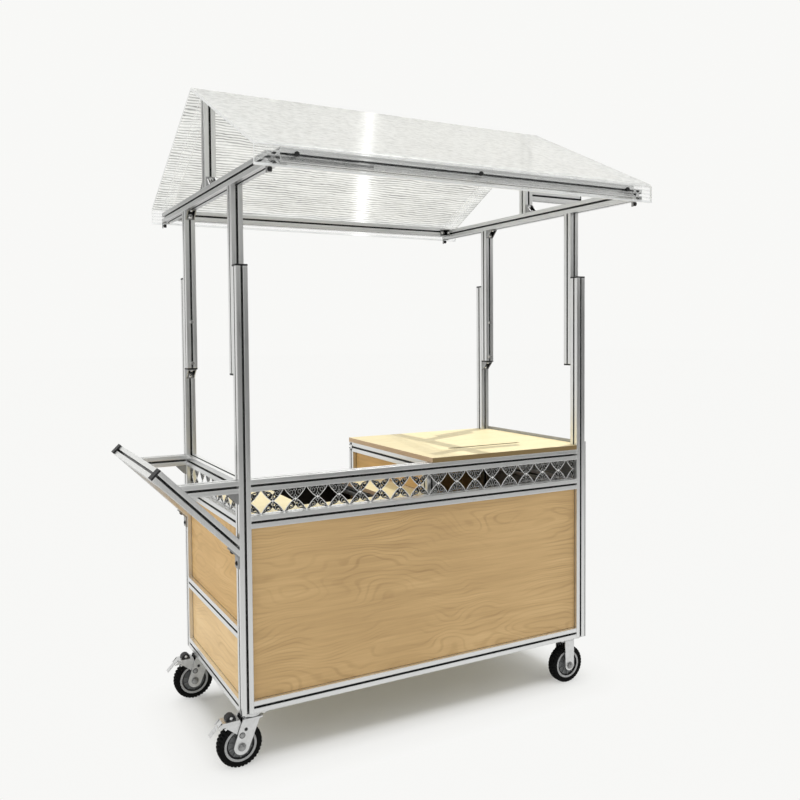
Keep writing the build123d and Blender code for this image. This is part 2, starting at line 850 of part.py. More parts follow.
# Swivel forks with their axles and the pins of the brake pedals
pin_length = leg_gap - pedal_cheek_gap - pedal_pin_gap
for side in ends:
    fork_y = side * swivel_y
    leg_top_x = swivel_x - swivel_leg_shift
    with BuildPart() as fork:
        with BuildSketch(Plane(origin=(swivel_x, fork_y, crown_bottom))):
            RectangleRounded(crown_length, 2 * leg_outer, crown_corner)
            Circle(king_radius + axle_gap, mode=Mode.SUBTRACT)
        extrude(amount=crown_thickness)
        for leg_side in ends:
            leg_y = fork_y + leg_side * (leg_inner + leg_outer) / 2
            caster_leg(leg_y, wheel_x, swivel_foot_radius, leg_top_x, swivel_leg_width, crown_top)
            pin_face = front_plane(wheel_x, fork_y + leg_side * leg_inner, axle_level + pedal_pivot_rise)
            with BuildSketch(pin_face):
                Circle(pedal_pin_diameter / 2)
            extrude(amount=leg_side * pin_length)
        axle(wheel_x, fork_y)
    save(fork, f"{side_names[side]}_left_fork")

# Brake pedals: a sheet over the tyre with a tongue, two cheeks that hang on the fork's pins, the shoe
cheek_inner = wheel_width / 2 + pedal_cheek_gap
cheek_outer = cheek_inner + pedal_sheet
shoe_radius = wheel_diameter / 2 + shoe_clearance + shoe_thickness / 2
shoe_across = (-sin(radians(shoe_angle)), 0, cos(radians(shoe_angle)))
for side in ends:
    pedal_y = side * swivel_y
    with BuildPart() as pedal:
        with BuildSketch(front_plane(wheel_x, pedal_y, axle_level)):
            Polygon(
                pedal_root,
                pedal_knee,
                (pedal_knee[0], pedal_knee[1] - pedal_sheet),
                (pedal_root[0], pedal_root[1] - pedal_sheet),
                align=None,
            )
        extrude(amount=cheek_outer, both=True)
        with BuildSketch(front_plane(wheel_x, pedal_y, axle_level)):
            Polygon(
                pedal_knee,
                pedal_tip,
                (pedal_tip[0], pedal_tip[1] - pedal_sheet),
                (pedal_knee[0], pedal_knee[1] - pedal_sheet),
                align=None,
            )
        extrude(amount=pedal_tongue_width / 2, both=True)
        for cheek_side in ends:
            cheek_y = pedal_y + cheek_side * (cheek_inner + cheek_outer) / 2
            with BuildSketch(front_plane(wheel_x, cheek_y, axle_level)):
                Polygon(
                    pedal_root,
                    pedal_knee,
                    pedal_cheek_tip,
                    pedal_cheek_arch,
                    (-pedal_ear_radius, pedal_pivot_rise),
                    (pedal_ear_radius, pedal_pivot_rise),
                    align=None,
                )
                with Locations((0, pedal_pivot_rise)):
                    Circle(pedal_ear_radius)
                    Circle(pedal_pin_diameter / 2 + pedal_pin_gap, mode=Mode.SUBTRACT)
            extrude(amount=pedal_sheet / 2, both=True)
        shoe_plane = Plane(
            origin=(
                wheel_x + shoe_radius * cos(radians(shoe_angle)),
                pedal_y,
                axle_level + shoe_radius * sin(radians(shoe_angle)),
            ),
            x_dir=shoe_across,
            z_dir=(0, 1, 0),
        )
        with BuildSketch(shoe_plane):
            Rectangle(shoe_length, shoe_thickness)
        extrude(amount=cheek_outer, both=True)
    save(pedal, f"{side_names[side]}_left_brake_pedal")

# Wheels: one rim and one tyre are shaped about the origin and placed at each caster
rib_start = (hub_diameter - rib_thickness) / 2
rib_end = (rim_inner_diameter + rib_thickness) / 2
with BuildPart() as rim_form:
    with BuildSketch(wheel_plane):
        lower = [
            (axle_diameter / 2 + axle_gap, -hub_width / 2),
            (hub_diameter / 2, -hub_width / 2),
            (hub_diameter / 2, -web_thickness / 2),
            (rim_inner_diameter / 2, -web_thickness / 2),
            (rim_inner_diameter / 2, -rim_width / 2),
            (tyre_inner_diameter / 2, -rim_width / 2),
        ]
        upper = [(r, -along) for r, along in reversed(lower)]
        Polygon(*lower, *upper, align=None)
    revolve(axis=Axis.Y)
    with BuildSketch(front_plane(0, 0, 0)):
        with PolarLocations((rib_start + rib_end) / 2, rib_count):
            Rectangle(rib_end - rib_start, rib_thickness)
    extrude(amount=rib_width / 2, both=True)

with BuildPart() as tyre_form:
    with BuildSketch(wheel_plane) as tyre_section:
        with Locations(((tyre_inner_diameter + wheel_diameter) / 4, 0)):
            Rectangle((wheel_diameter - tyre_inner_diameter) / 2, wheel_width)
        chamfer(tyre_section.vertices().group_by(Axis.X)[-1], tyre_shoulder)
    revolve(axis=Axis.Y)
    for face, first in ((-1, 0), (1, 180 / tread_count)):
        with BuildSketch(front_plane(0, face * wheel_width / 2, 0)):
            with PolarLocations(wheel_diameter / 2, tread_count, first):
                Rectangle(2 * tread_depth, tread_groove)
        extrude(amount=face * tread_length, mode=Mode.SUBTRACT)

caster_places = {-1: (wheel_x, swivel_y), 1: (fixed_x, fixed_y)}
for end, side in corners:
    place = (caster_places[end][0], side * caster_places[end][1], axle_level)
    name = f"{side_names[side]}_{end_names[end]}"
    with BuildPart() as rim:
        with Locations(place):
            add(rim_form.part)
    save(rim, f"{name}_rim")

    with BuildPart() as tyre:
        with Locations(place):
            add(tyre_form.part)
    save(tyre, f"{name}_tyre")

# Doors in the back, hung on butt hinges beside the back posts
door_bottom = bottom_rail_top + door_gap
door_top = mid_rail_level - door_gap
door_middle = (door_bottom + door_top) / 2
door_edge = inner_x - door_gap
door_width = door_edge - door_gap / 2
hinge_x = inner_x - door_gap / 2
hinge_y = back_face + knuckle_diameter / 2
hinge_levels = (door_bottom + hinge_from_edge, door_top - hinge_from_edge)
knuckle_height = hinge_height / 3


def knuckle(x, level, height):
    """One knuckle of a hinge, about the hinge line and a height."""
    with BuildSketch(Plane(origin=(x, hinge_y, level - height / 2))) as section:
        Circle(knuckle_diameter / 2)
    extrude(section.sketch, amount=height)


def pin_bore(x, level):
    """Room for the hinge pin through the moving knuckle."""
    with BuildSketch(Plane(origin=(x, hinge_y, level - hinge_height / 2))) as section:
        Circle(hinge_pin_diameter / 2 + hinge_pin_gap)
    extrude(section.sketch, amount=hinge_height, mode=Mode.SUBTRACT)


def leaf(start_x, outward, level, height):
    """Leaf that lies on the back face, from the hinge line outwards."""
    with BuildSketch(front_plane(start_x + outward * hinge_leaf_width / 2, back_face, level)) as section:
        Rectangle(hinge_leaf_width, height)
    extrude(section.sketch, amount=-hinge_leaf_thickness)


moving_height = knuckle_height - 2 * knuckle_gap
with BuildPart() as door_hinges:
    for end in ends:
        for level in hinge_levels:
            leaf(end * hinge_x, end, level, hinge_height)
            with BuildSketch(Plane(origin=(end * hinge_x, hinge_y, level))):
                Rectangle(knuckle_diameter + 2 * knuckle_gap, 2 * knuckle_diameter)
            extrude(amount=knuckle_height / 2, both=True, mode=Mode.SUBTRACT)
            for shift in ends:
                knuckle(end * hinge_x, level + shift * knuckle_height, knuckle_height)
            with BuildSketch(Plane(origin=(end * hinge_x, hinge_y, level))):
                Circle(hinge_pin_diameter / 2)
            extrude(amount=hinge_height / 2, both=True)
save(door_hinges, "door_hinges")

for end in ends:
    door_x = end * (door_edge + door_gap / 2) / 2
    with BuildPart() as door:
        board(
            front_plane(door_x, back_face - door_thickness / 2, door_middle),
            door_width,
            door_top - door_bottom,
            door_thickness,
        )
    save(door, f"{end_names[end]}_door")

    with BuildPart() as fittings:
        for level in hinge_levels:
            leaf(end * hinge_x, -end, level, hinge_height)
            for shift in ends:
                with BuildSketch(Plane(origin=(end * hinge_x, hinge_y, level + shift * knuckle_height))):
                    Rectangle(knuckle_diameter + 2 * knuckle_gap, 2 * knuckle_diameter)
                extrude(amount=knuckle_height / 2 + knuckle_gap, both=True, mode=Mode.SUBTRACT)
            knuckle(end * hinge_x, level, moving_height)
            pin_bore(end * hinge_x, level)
        pull_x = end * (door_gap / 2 + pull_from_edge)
        with BuildLine():
            Polyline(
                (pull_x, back_face, door_middle - pull_length / 2),
                (pull_x, back_face + pull_stand, door_middle - pull_length / 2),
                (pull_x, back_face + pull_stand, door_middle + pull_length / 2),
                (pull_x, back_face, door_middle + pull_length / 2),
            )
        with BuildSketch(front_plane(pull_x, back_face, door_middle - pull_length / 2)):
            Circle(pull_diameter / 2)
        sweep(transition=Transition.RIGHT)
    save(fittings, f"{end_names[end]}_door_fittings")
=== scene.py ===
import json
import math
import bpy
import bmesh
from mathutils import Matrix, Vector

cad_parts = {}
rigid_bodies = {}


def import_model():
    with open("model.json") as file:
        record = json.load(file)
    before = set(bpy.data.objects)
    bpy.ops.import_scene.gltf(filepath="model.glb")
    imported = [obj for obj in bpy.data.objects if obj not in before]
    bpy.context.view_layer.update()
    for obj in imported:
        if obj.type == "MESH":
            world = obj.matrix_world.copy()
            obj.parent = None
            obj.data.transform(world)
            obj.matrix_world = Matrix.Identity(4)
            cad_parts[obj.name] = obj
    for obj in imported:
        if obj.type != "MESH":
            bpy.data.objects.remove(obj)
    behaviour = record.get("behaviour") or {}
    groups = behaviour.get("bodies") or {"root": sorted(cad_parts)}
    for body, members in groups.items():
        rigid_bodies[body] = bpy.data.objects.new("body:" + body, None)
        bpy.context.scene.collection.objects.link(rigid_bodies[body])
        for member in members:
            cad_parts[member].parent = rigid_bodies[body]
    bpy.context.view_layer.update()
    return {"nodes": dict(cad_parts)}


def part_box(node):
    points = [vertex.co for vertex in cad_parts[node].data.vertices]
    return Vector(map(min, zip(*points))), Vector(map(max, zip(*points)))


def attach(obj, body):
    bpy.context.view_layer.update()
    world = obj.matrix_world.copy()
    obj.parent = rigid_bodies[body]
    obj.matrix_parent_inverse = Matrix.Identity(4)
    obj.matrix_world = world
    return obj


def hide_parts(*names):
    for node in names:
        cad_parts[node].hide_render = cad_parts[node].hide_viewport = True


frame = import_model()
nodes = frame["nodes"]
scene = bpy.context.scene

# Places that come from the frame


def middle(node):
    """Middle of a CAD node's box."""
    low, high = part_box(node)
    return (low + high) / 2


post_low, post_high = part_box("back_right_post")
post_x, post_y = middle("back_right_post").xy
bar = post_high.x - post_low.x
end_beam_low, end_beam_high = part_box("canopy_end_beams")
eave_beam_low, eave_beam_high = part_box("canopy_eave_beams")
brace_low, brace_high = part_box("handle_braces")
rail_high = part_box("front_rails")[1]
roof_half_length, _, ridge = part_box("roof_front_sheet")[1]
fold_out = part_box("roof_back_sheet")[1].y
wheels = {name: middle(f"{name}_rim") for name in ("front_left", "back_left", "front_right", "back_right")}

# Roof fold: a slope down to the eaves, then an upright fascia
fold_level = 1.97146
fascia_height = 0.065
fascia_low = fold_level - fascia_height
slope = math.atan2(ridge - fold_level, fold_out)

# Material helpers


class Graph:
    """One material's nodes, with short ways to add and link them."""

    def __init__(self, name):
        self.material = bpy.data.materials.new(name)
        self.material.use_nodes = True
        self.tree = self.material.node_tree
        self.tree.nodes.clear()
        self.out = self.add("ShaderNodeOutputMaterial")
        self.shader = self.add("ShaderNodeBsdfPrincipled")
        self.show(self.shader)
        places = self.add("ShaderNodeTexCoord")
        self.coord = places.outputs["Object"]
        self.facing = places.outputs["Normal"]

    def add(self, kind, **settings):
        """New node with its settings."""
        node = self.tree.nodes.new(kind)
        for key, value in settings.items():
            setattr(node, key, value)
        return node

    def link(self, source, socket):
        self.tree.links.new(source, socket)

    def fill(self, socket, value):
        """Link a socket to another one, or set its own value."""
        if isinstance(value, bpy.types.NodeSocket):
            self.link(value, socket)
        else:
            socket.default_value = value

    def put(self, node, **values):
        """Fill a node's sockets by their names, with _ for a space."""
        for key, value in values.items():
            self.fill(node.inputs[key.replace("_", " ")], value)
        return node

    def scaled(self, scale):
        """The piece's own coordinates, times a scale for each axis."""
        return self.put(self.add("ShaderNodeMapping"), Vector=self.coord, Scale=scale).outputs[0]

    def noise(self, scale, detail=4.0, rough=0.55, vector=None):
        """Noise over a vector or the piece's own coordinates, with one scale for all axes or one for each."""
        if isinstance(scale, (list, tuple)):
            vector, scale = self.scaled(scale), 1.0
        node = self.add("ShaderNodeTexNoise")
        place = self.coord if vector is None else vector
        self.put(node, Vector=place, Scale=scale, Detail=detail, Roughness=rough)
        return node.outputs["Fac"]

    def ramp(self, value, *stops):
        """Colour or tone that follows a value through stops of (place, colour or tone)."""
        node = self.add("ShaderNodeValToRGB")
        self.link(value, node.inputs[0])
        elements = node.color_ramp.elements
        while len(elements) < len(stops):
            elements.new(0.5)
        for element, (place, colour) in zip(elements, stops):
            element.position = place
            if isinstance(colour, (int, float)):
                colour = (colour, colour, colour)
            element.color = (*colour, 1.0)
        return node.outputs[0]

    def math(self, operation, a, b=None):
        node = self.add("ShaderNodeMath", operation=operation)
        self.fill(node.inputs[0], a)
        if b is not None:
            self.fill(node.inputs[1], b)
        return node.outputs[0]

    def plus(self, a, b):
        return self.math("ADD", a, b)

    def minus(self, a, b):
        return self.math("SUBTRACT", a, b)

    def times(self, a, b):
        return self.math("MULTIPLY", a, b)

    def total(self, *parts):
        """Sum of values, each times its weight."""
        first, *rest = [self.times(value, weight) for value, weight in parts]
        for part in rest:
            first = self.plus(first, part)
        return first

    def mix(self, share, first, second, blend="MIX"):
        node = self.add("ShaderNodeMix", data_type="RGBA", blend_type=blend)
        for place, value in ((0, share), (6, first), (7, second)):
            self.fill(node.inputs[place], value)
        return node.outputs[2]

    def axis(self, vector, name):
        node = self.add("ShaderNodeSeparateXYZ")
        self.link(vector, node.inputs[0])
        return node.outputs[name]

    def normal(self, name):
        """Part of the face's normal along an axis of the scene."""
        geometry = self.add("ShaderNodeNewGeometry")
        return self.axis(geometry.outputs["True Normal"], name)

    def own_normal(self, name):
        """Part of the normal along an axis of the piece, which swings with it."""
        return self.axis(self.facing, name)

    def bump(self, height, distance, strength, edge=None):
        """Bump on the shader, over edges that are rounded by a radius."""
        node = self.put(self.add("ShaderNodeBump"), Height=height, Distance=distance, Strength=strength)
        self.link(node.outputs[0], self.shader.inputs["Normal"])
        if edge:
            rounding = self.put(self.add("ShaderNodeBevel", samples=4), Radius=edge)
            self.link(rounding.outputs[0], node.inputs["Normal"])

    def painted_shade(self, reach, dark, light, floor, local=True):
        """Painted shade: a tone that is dark in slots and inside corners, of the piece or of all pieces, and white in
        the open.
        """
        node = self.add("ShaderNodeAmbientOcclusion", samples=6, only_local=local)
        node.inputs["Distance"].default_value = reach
        return self.ramp(node.outputs["AO"], (dark, floor), (light, 1.0))

    def blend(self, share, first, second):
        """Shader that is a share of the second and the rest of the first."""
        node = self.add("ShaderNodeMixShader")
        self.fill(node.inputs[0], share)
        self.link(first.outputs[0], node.inputs[1])
        self.link(second.outputs[0], node.inputs[2])
        return node

    def show(self, shader):
        """Make a shader the surface."""
        self.link(shader.outputs[0], self.out.inputs["Surface"])


def stretched(across, axis, along):
    """Scale for each axis, with a value of its own along one of them."""
    return [along if name == axis else across for name in "XYZ"]


def bar_metal(name, along):
    """Clear anodised extrusion: fine drawing lines along an axis, with a painted highlight on its upper faces and
    painted shade in its slots.
    """
    g = Graph(name)
    streaks = g.noise(stretched(260.0, along, 2.2), 3.0, 0.6)
    broad = g.noise(4.5, 3.0)
    tone = g.total((streaks, 0.55), (broad, 0.45))
    metal = g.ramp(tone, (0.3, (0.70, 0.705, 0.70)), (0.7, (0.84, 0.845, 0.84)))
    # Upward faces take a brighter colour: a painted highlight of the sky on the tops.
    top_highlight = g.ramp(tone, (0.3, (0.94, 0.945, 0.935)), (0.7, (0.985, 0.99, 0.98)))
    metal = g.mix(g.math("GREATER_THAN", g.normal("Z"), 0.6), metal, top_highlight)
    # Painted shade: dark inside the slots and corners.
    shade_tone = g.painted_shade(0.014, 0.60, 0.86, 0.005)
    g.put(g.shader, Base_Color=g.mix(1.0, metal, shade_tone, "MULTIPLY"), Metallic=0.96,
          Roughness=g.ramp(tone, (0.3, 0.26), (0.7, 0.38)))
    g.bump(streaks, 0.00008, 0.35, edge=0.004)
    return g.material


def plywood(name, grain, tones, face, edges, shaded_side=0, long_edge=None):
    """Rotary cut plywood: a flowing figure along the grain, fine pores, and painted shade where it meets its frame.

    Its cut edges show the layers, and those along the grain take another tint. One face can have a dark coat, which
    paints the shade inside the closed cabinet.
    """
    g = Graph(name)
    ply = 0.0016
    dark, mid, light = tones
    edge_dark, edge_light = edges

    warp = g.put(g.add("ShaderNodeTexNoise"), Vector=g.coord, Scale=1.7, Detail=3.0, Roughness=0.5)
    flow = g.add("ShaderNodeVectorMath", operation="MULTIPLY_ADD")
    g.fill(flow.inputs[0], warp.outputs["Color"])
    g.fill(flow.inputs[1], (0.75, 0.75, 0.75))
    g.fill(flow.inputs[2], g.scaled(stretched(3.4, grain, 0.75)))
    rise = g.plus(*[g.axis(g.coord, axis) for axis in "XYZ" if axis != grain])
    field = g.plus(g.times(rise, 1.35), g.noise(1.0, 2.0, 0.5, flow.outputs[0]))
    bands = g.math("SINE", g.times(field, 2 * math.pi * 9.0))
    lines = g.ramp(g.math("SINE", g.times(field, 2 * math.pi * 38.0)), (0.2, 0.0), (1.0, 1.0))
    strength = g.ramp(g.noise(2.9, 2.0), (0.40, 0.05), (0.62, 1.0))
    pores = g.noise(stretched(170.0, grain, 5.0), 4.0, 0.65)
    streaks = g.noise(stretched(26.0, grain, 1.6), 3.0, 0.6)
    broad = g.noise(1.6, 2.0)
    figure = g.plus(0.5, g.total((g.times(bands, strength), 0.04), (g.times(lines, strength), -0.13),
                                 (g.minus(pores, 0.5), 0.32), (g.minus(streaks, 0.5), 0.32),
                                 (g.minus(broad, 0.5), 0.35)))
    wood = g.ramp(figure, (0.15, dark), (0.5, mid), (0.85, light))

    layer = g.math("SINE", g.times(g.axis(g.coord, face), math.pi / ply))
    stripes = g.ramp(g.plus(g.times(layer, 0.5), 0.5), (0.25, edge_dark), (0.75, edge_light))
    if long_edge:
        end_grain = g.math("ABSOLUTE", g.own_normal(grain))
        stripes = g.mix(1.0, stripes, g.ramp(end_grain, (0.4, long_edge), (0.6, 1.0)), "MULTIPLY")
    cut = g.math("LESS_THAN", g.math("ABSOLUTE", g.own_normal(face)), 0.5)
    wood = g.mix(cut, wood, stripes)
    # A dark coat on one face: painted shade of the closed cabinet's inside.
    if shaded_side:
        shade_coat = g.ramp(pores, (0.3, (0.010, 0.009, 0.008)), (0.7, (0.024, 0.021, 0.018)))
        shaded_faces = g.math("GREATER_THAN", g.times(g.own_normal(face), shaded_side), 0.5)
        wood = g.mix(shaded_faces, wood, shade_coat)

    # Painted shade: darker where the panel sits in its frame and in inside corners near other pieces.
    seam_shade = g.painted_shade(0.0035, 0.54, 0.80, 0.05, local=False)
    g.put(g.shader, Base_Color=g.mix(1.0, wood, seam_shade, "MULTIPLY"), Specular_IOR_Level=0.3,
          Roughness=g.ramp(figure, (0.2, 0.55), (0.8, 0.42)), Coat_Weight=0.06, Coat_Roughness=0.3)
    g.bump(g.plus(pores, g.times(streaks, 0.5)), 0.00022, 0.45)
    return g.material


def zinc(name, base, reach=0.02, rough=0.34, metallic=0.9):
    """Zinc plated pressed steel with a faint cloudy spangle, and painted shade inside its corners."""
    g = Graph(name)
    cloud = g.noise(55.0, 4.0, 0.6)
    scratch = g.noise((420.0, 60.0, 420.0), 3.0, 0.7)
    tone = g.total((cloud, 0.7), (scratch, 0.3))
    metal = g.ramp(tone, (0.3, (0.8 * base, 0.8 * base, 0.79 * base)), (0.7, (1.08 * base, 1.09 * base, 1.1 * base)))
    # Painted shade inside the corners.
    shade_tone = g.painted_shade(reach, 0.42, 0.85, 0.03)
    g.put(g.shader, Base_Color=g.mix(1.0, metal, shade_tone, "MULTIPLY"), Metallic=metallic,
          Roughness=g.ramp(tone, (0.3, rough - 0.08), (0.7, rough + 0.08)))
    g.bump(scratch, 0.00006, 0.5, edge=0.0006)
    return g.material


def plastic(name, dark, light, rough, grain=900.0, depth=0.00008, shine=0.4):
    """Moulded plastic or rubber with a fine grain."""
    g = Graph(name)
    fine = g.noise(grain, 2.0)
    tone = g.total((fine, 0.4), (g.noise(35.0, 3.0), 0.6))
    g.put(g.shader, Base_Color=g.ramp(tone, (0.3, dark), (0.7, light)), Specular_IOR_Level=shine,
          Roughness=g.ramp(tone, (0.3, rough), (0.7, rough + 0.15)))
    g.bump(fine, depth, 0.6, edge=0.0006)
    return g.material


def clear_sheet(name, fall, pitch, alphas, drawn_out, drawn_under, rib_tone, wander, grain_depth, tint, rims=None):
    """Clear multiwall plastic: walls along the ridge, drawn as lines, that throw the light across them.

    fall is the way down the sheet in (Y, Z) and pitch the step between walls. alphas are those of the clear sheet and
    of a wall. rims are the levels below and above which the sheet is nearly solid.
    """
    g = Graph(name)
    rib_half, rib_blur = 0.13, 0.18
    clear_alpha, rib_alpha = alphas
    y = g.math("ABSOLUTE", g.axis(g.coord, "Y"))
    z = g.axis(g.coord, "Z")
    down = g.total((y, fall[0]), (z, fall[1]))
    wave = g.noise((7.0, 12.0, 12.0), 3.0, 0.6)
    rib = g.math("FRACT", g.total((down, 1.0 / pitch), (wave, wander)))
    line = g.ramp(rib, (0.0, 1.0), (rib_half, 1.0), (rib_half + rib_blur, 0.0), (1.0 - rib_half - rib_blur, 0.0),
                  (1.0 - rib_half, 1.0))
    line = g.times(line, g.ramp(g.noise((7.0, 22.0, 22.0), 2.0), (0.3, 0.6), (0.6, 1.0)))
    grain = g.noise((40.0, 60.0, 60.0), 3.0, 0.7)
    # On the underside the walls can be drawn darker than on top: on the slopes this paints their shade, seen against
    # the sky.
    under = g.math("LESS_THAN", g.normal("Z"), -0.3)
    drawn = g.times(line, g.plus(drawn_out, g.times(under, drawn_under - drawn_out)))
    mottle = g.times(g.minus(grain, 0.45), g.minus(1.0, g.times(under, 0.75)))
    tone = g.plus(drawn, g.times(mottle, grain_depth))
    colour = g.ramp(tone, (0.0, tint), (1.0, (rib_tone, rib_tone, 0.97 * rib_tone)))
    g.put(g.shader, Base_Color=colour, Roughness=g.ramp(grain, (0.3, 0.28), (0.7, 0.40)), Specular_IOR_Level=0.25)
    g.bump(grain, 0.0002, 0.5)

    alpha = g.ramp(tone, (0.05, clear_alpha), (1.0, rib_alpha))
    if rims:
        lip, fold = rims
        alpha = g.math("MAXIMUM", alpha, g.times(g.math("LESS_THAN", z, lip), 0.85))
        alpha = g.math("MAXIMUM", alpha, g.times(g.math("GREATER_THAN", z, fold), 0.90))
    shadow = g.add("ShaderNodeLightPath").outputs["Is Shadow Ray"]
    solid = g.times(alpha, g.minus(1.0, g.times(shadow, 0.8)))

    along = g.add("ShaderNodeVectorMath", operation="CROSS_PRODUCT")
    g.fill(along.inputs[0], g.add("ShaderNodeNewGeometry").outputs["True Normal"])
    g.fill(along.inputs[1], g.add("ShaderNodeTangent", direction_type="RADIAL", axis="X").outputs[0])
    through = g.put(g.add("ShaderNodeBsdfTranslucent"), Color=colour)
    gloss = g.put(g.add("ShaderNodeBsdfAnisotropic"), Color=(1.0, 1.0, 0.98, 1.0), Roughness=0.17, Anisotropy=0.85,
                  Tangent=along.outputs[0])
    glint = g.put(g.add("ShaderNodeBsdfHair", component="Transmission"), Color=(0.95, 0.95, 0.93, 1.0),
                  RoughnessU=0.0025, RoughnessV=1.0, Tangent=along.outputs[0])
    body = g.shader
    for share, layer in ((0.5, through), (0.006, gloss), (0.035, glint)):
        body = g.blend(share, body, layer)
    g.show(g.blend(solid, g.add("ShaderNodeBsdfTransparent"), body))
    return g.material


def clear_strip(name):
    """Clear glazing strip: its narrow sides catch the light and its flat face is seen through."""
    g = Graph(name)
    haze = g.noise((60.0, 9.0, 9.0), 3.0)
    g.put(g.shader, Base_Color=g.ramp(haze, (0.3, (0.86, 0.865, 0.86)), (0.7, (0.95, 0.955, 0.95))),
          Roughness=g.ramp(haze, (0.3, 0.15), (0.7, 0.30)))
    side = g.math("GREATER_THAN", g.math("ABSOLUTE", g.normal("X")), 0.5)
    alpha = g.total((haze, 0.25), (side, 0.75))
    through = g.put(g.add("ShaderNodeBsdfTranslucent"), Color=(0.97, 0.97, 0.96, 1.0))
    body = g.blend(0.6, g.shader, through)
    g.show(g.blend(alpha, g.add("ShaderNodeBsdfTransparent"), body))
    return g.material


# Materials
bar_x, bar_y, bar_z = [bar_metal(f"bar_metal_{axis.lower()}", axis) for axis in "XYZ"]
tan_wood = ((0.36, 0.225, 0.097), (0.585, 0.39, 0.182), (0.79, 0.56, 0.285))
golden_wood = ((0.49, 0.285, 0.10), (0.72, 0.45, 0.165), (0.88, 0.60, 0.26))
honey_wood = ((0.64, 0.42, 0.19), (0.90, 0.63, 0.31), (0.97, 0.74, 0.42))
pale_wood = ((0.75, 0.615, 0.33), (0.88, 0.76, 0.455), (0.94, 0.84, 0.55))
grey_wood = ((0.33, 0.29, 0.19), (0.50, 0.45, 0.31), (0.62, 0.57, 0.41))
dark_layers = ((0.20, 0.11, 0.05), (0.40, 0.24, 0.12))
pale_layers = ((0.50, 0.355, 0.225), (0.68, 0.48, 0.305))
front_ply = plywood("front_plywood", "X", tan_wood, "Y", dark_layers)
# The left door's inside is coated dark: painted shade inside the cabinet.
door_ply = plywood("door_plywood", "X", tan_wood, "Y", dark_layers, shaded_side=-1)
end_ply = plywood("end_plywood", "Y", golden_wood, "X", dark_layers)
pale_ply = plywood("pale_plywood", "Y", honey_wood, "X", dark_layers)
top_ply = plywood("top_plywood", "X", pale_wood, "Z", pale_layers, long_edge=(0.37, 0.36, 0.235))
# The cabinet floor's top is coated dark: painted shade inside the cabinet.
floor_ply = plywood("floor_plywood", "X", grey_wood, "Z", dark_layers, shaded_side=1)
zinc_metal = zinc("zinc_steel", 0.74)
cast_grey = zinc("cast_bracket", 0.40, reach=0.03, rough=0.42)
bright_steel = zinc("bright_bolts", 0.84, reach=0.006, rough=0.20)
fret_silver = zinc("fret_silver", 0.90, reach=0.002, rough=0.30, metallic=0.05)
black = plastic("black_plastic", (0.006, 0.006, 0.007), (0.018, 0.018, 0.019), 0.42)
rubber = plastic("tyre_rubber", (0.004, 0.004, 0.004), (0.010, 0.010, 0.010), 0.75, grain=600.0, depth=0.0002,
                 shine=0.08)
rim_grey = plastic("rim_plastic", (0.075, 0.08, 0.082), (0.19, 0.195, 0.20), 0.4)
flange_grey = plastic("rim_flange", (0.34, 0.345, 0.35), (0.46, 0.465, 0.47), 0.35)
clear = clear_sheet("clear_multiwall", fall=(math.cos(slope), -math.sin(slope)), pitch=0.016, alphas=(0.66, 0.95),
                    drawn_out=0.14, drawn_under=0.70, rib_tone=0.05, wander=2.0, grain_depth=1.5,
                    tint=(0.975, 0.98, 0.965))
# The fascia's walls are drawn as bright lines and its tint is bluish: painted highlights and a painted sheen.
clear_fascia = clear_sheet("clear_fascia", fall=(0.0, -1.0), pitch=0.013, alphas=(0.03, 0.60),
                           drawn_out=0.55, drawn_under=0.55, rib_tone=0.90, wander=0.15, grain_depth=0.2,
                           tint=(0.94, 0.96, 0.985), rims=(fascia_low + 0.006, fold_level - 0.0055))
strip_clear = clear_strip("clear_strip")
sheet_edge = plastic("sheet_edge", (0.92, 0.93, 0.93), (0.97, 0.975, 0.975), 0.25)
# Painted shade: the near-black colour of the sheet behind the lace.
lace_shade_colour = plastic("lace_painted_shade", (0.006, 0.006, 0.005), (0.03, 0.028, 0.024), 0.6, grain=700.0, depth=0.0001,
                    shine=0.15)
grey_sheet = plastic("grey_sheet", (0.33, 0.335, 0.335), (0.42, 0.425, 0.425), 0.3, grain=400.0, depth=0.00004)

looks = {
    bar_x: ["front_rails", "back_rails", "canopy_eave_beams", "side_arm", "handle_braces"],
    bar_y: ["left_end_rails", "right_end_rails", "deck_cross_rails", "box_rails", "handle_bar", "canopy_end_beams"],
    bar_z: ["front_left_post", "front_right_post", "back_left_post", "back_right_post", "canopy_front_left_post",
            "canopy_front_right_post", "canopy_back_left_post", "canopy_back_right_post", "box_studs", "king_posts",
            "handle_arms"],
    front_ply: ["front_panel", "right_door"],
    door_ply: ["left_door"],
    end_ply: ["left_upper_panel", "box_side_panel"],
    pale_ply: ["left_lower_panel"],
    top_ply: ["worktop", "cooking_deck"],
    floor_ply: ["cabinet_floor"],
    zinc_metal: ["swivel_plates", "fixed_forks", "front_left_fork", "back_left_fork", "front_left_brake_pedal",
                 "back_left_brake_pedal", "door_hinges", "left_door_fittings", "right_door_fittings"],
    cast_grey: ["frame_brackets", "canopy_brackets"],
    bright_steel: ["slide_bolts"],
    fret_silver: ["front_fretwork", "left_fretwork"],
    black: ["end_caps", "canopy_caps", "canopy_knobs"],
    rubber: [f"{wheel}_tyre" for wheel in wheels],
    rim_grey: [f"{wheel}_rim" for wheel in wheels],
    clear: ["roof_front_sheet", "roof_back_sheet"],
    strip_clear: ["roof_edge_strips"],
    grey_sheet: ["right_end_panel"],
}
for material, names in looks.items():
    for name in names:
        mesh = nodes[name].data
        mesh.materials.clear()
        mesh.materials.append(material)

# Mesh helpers


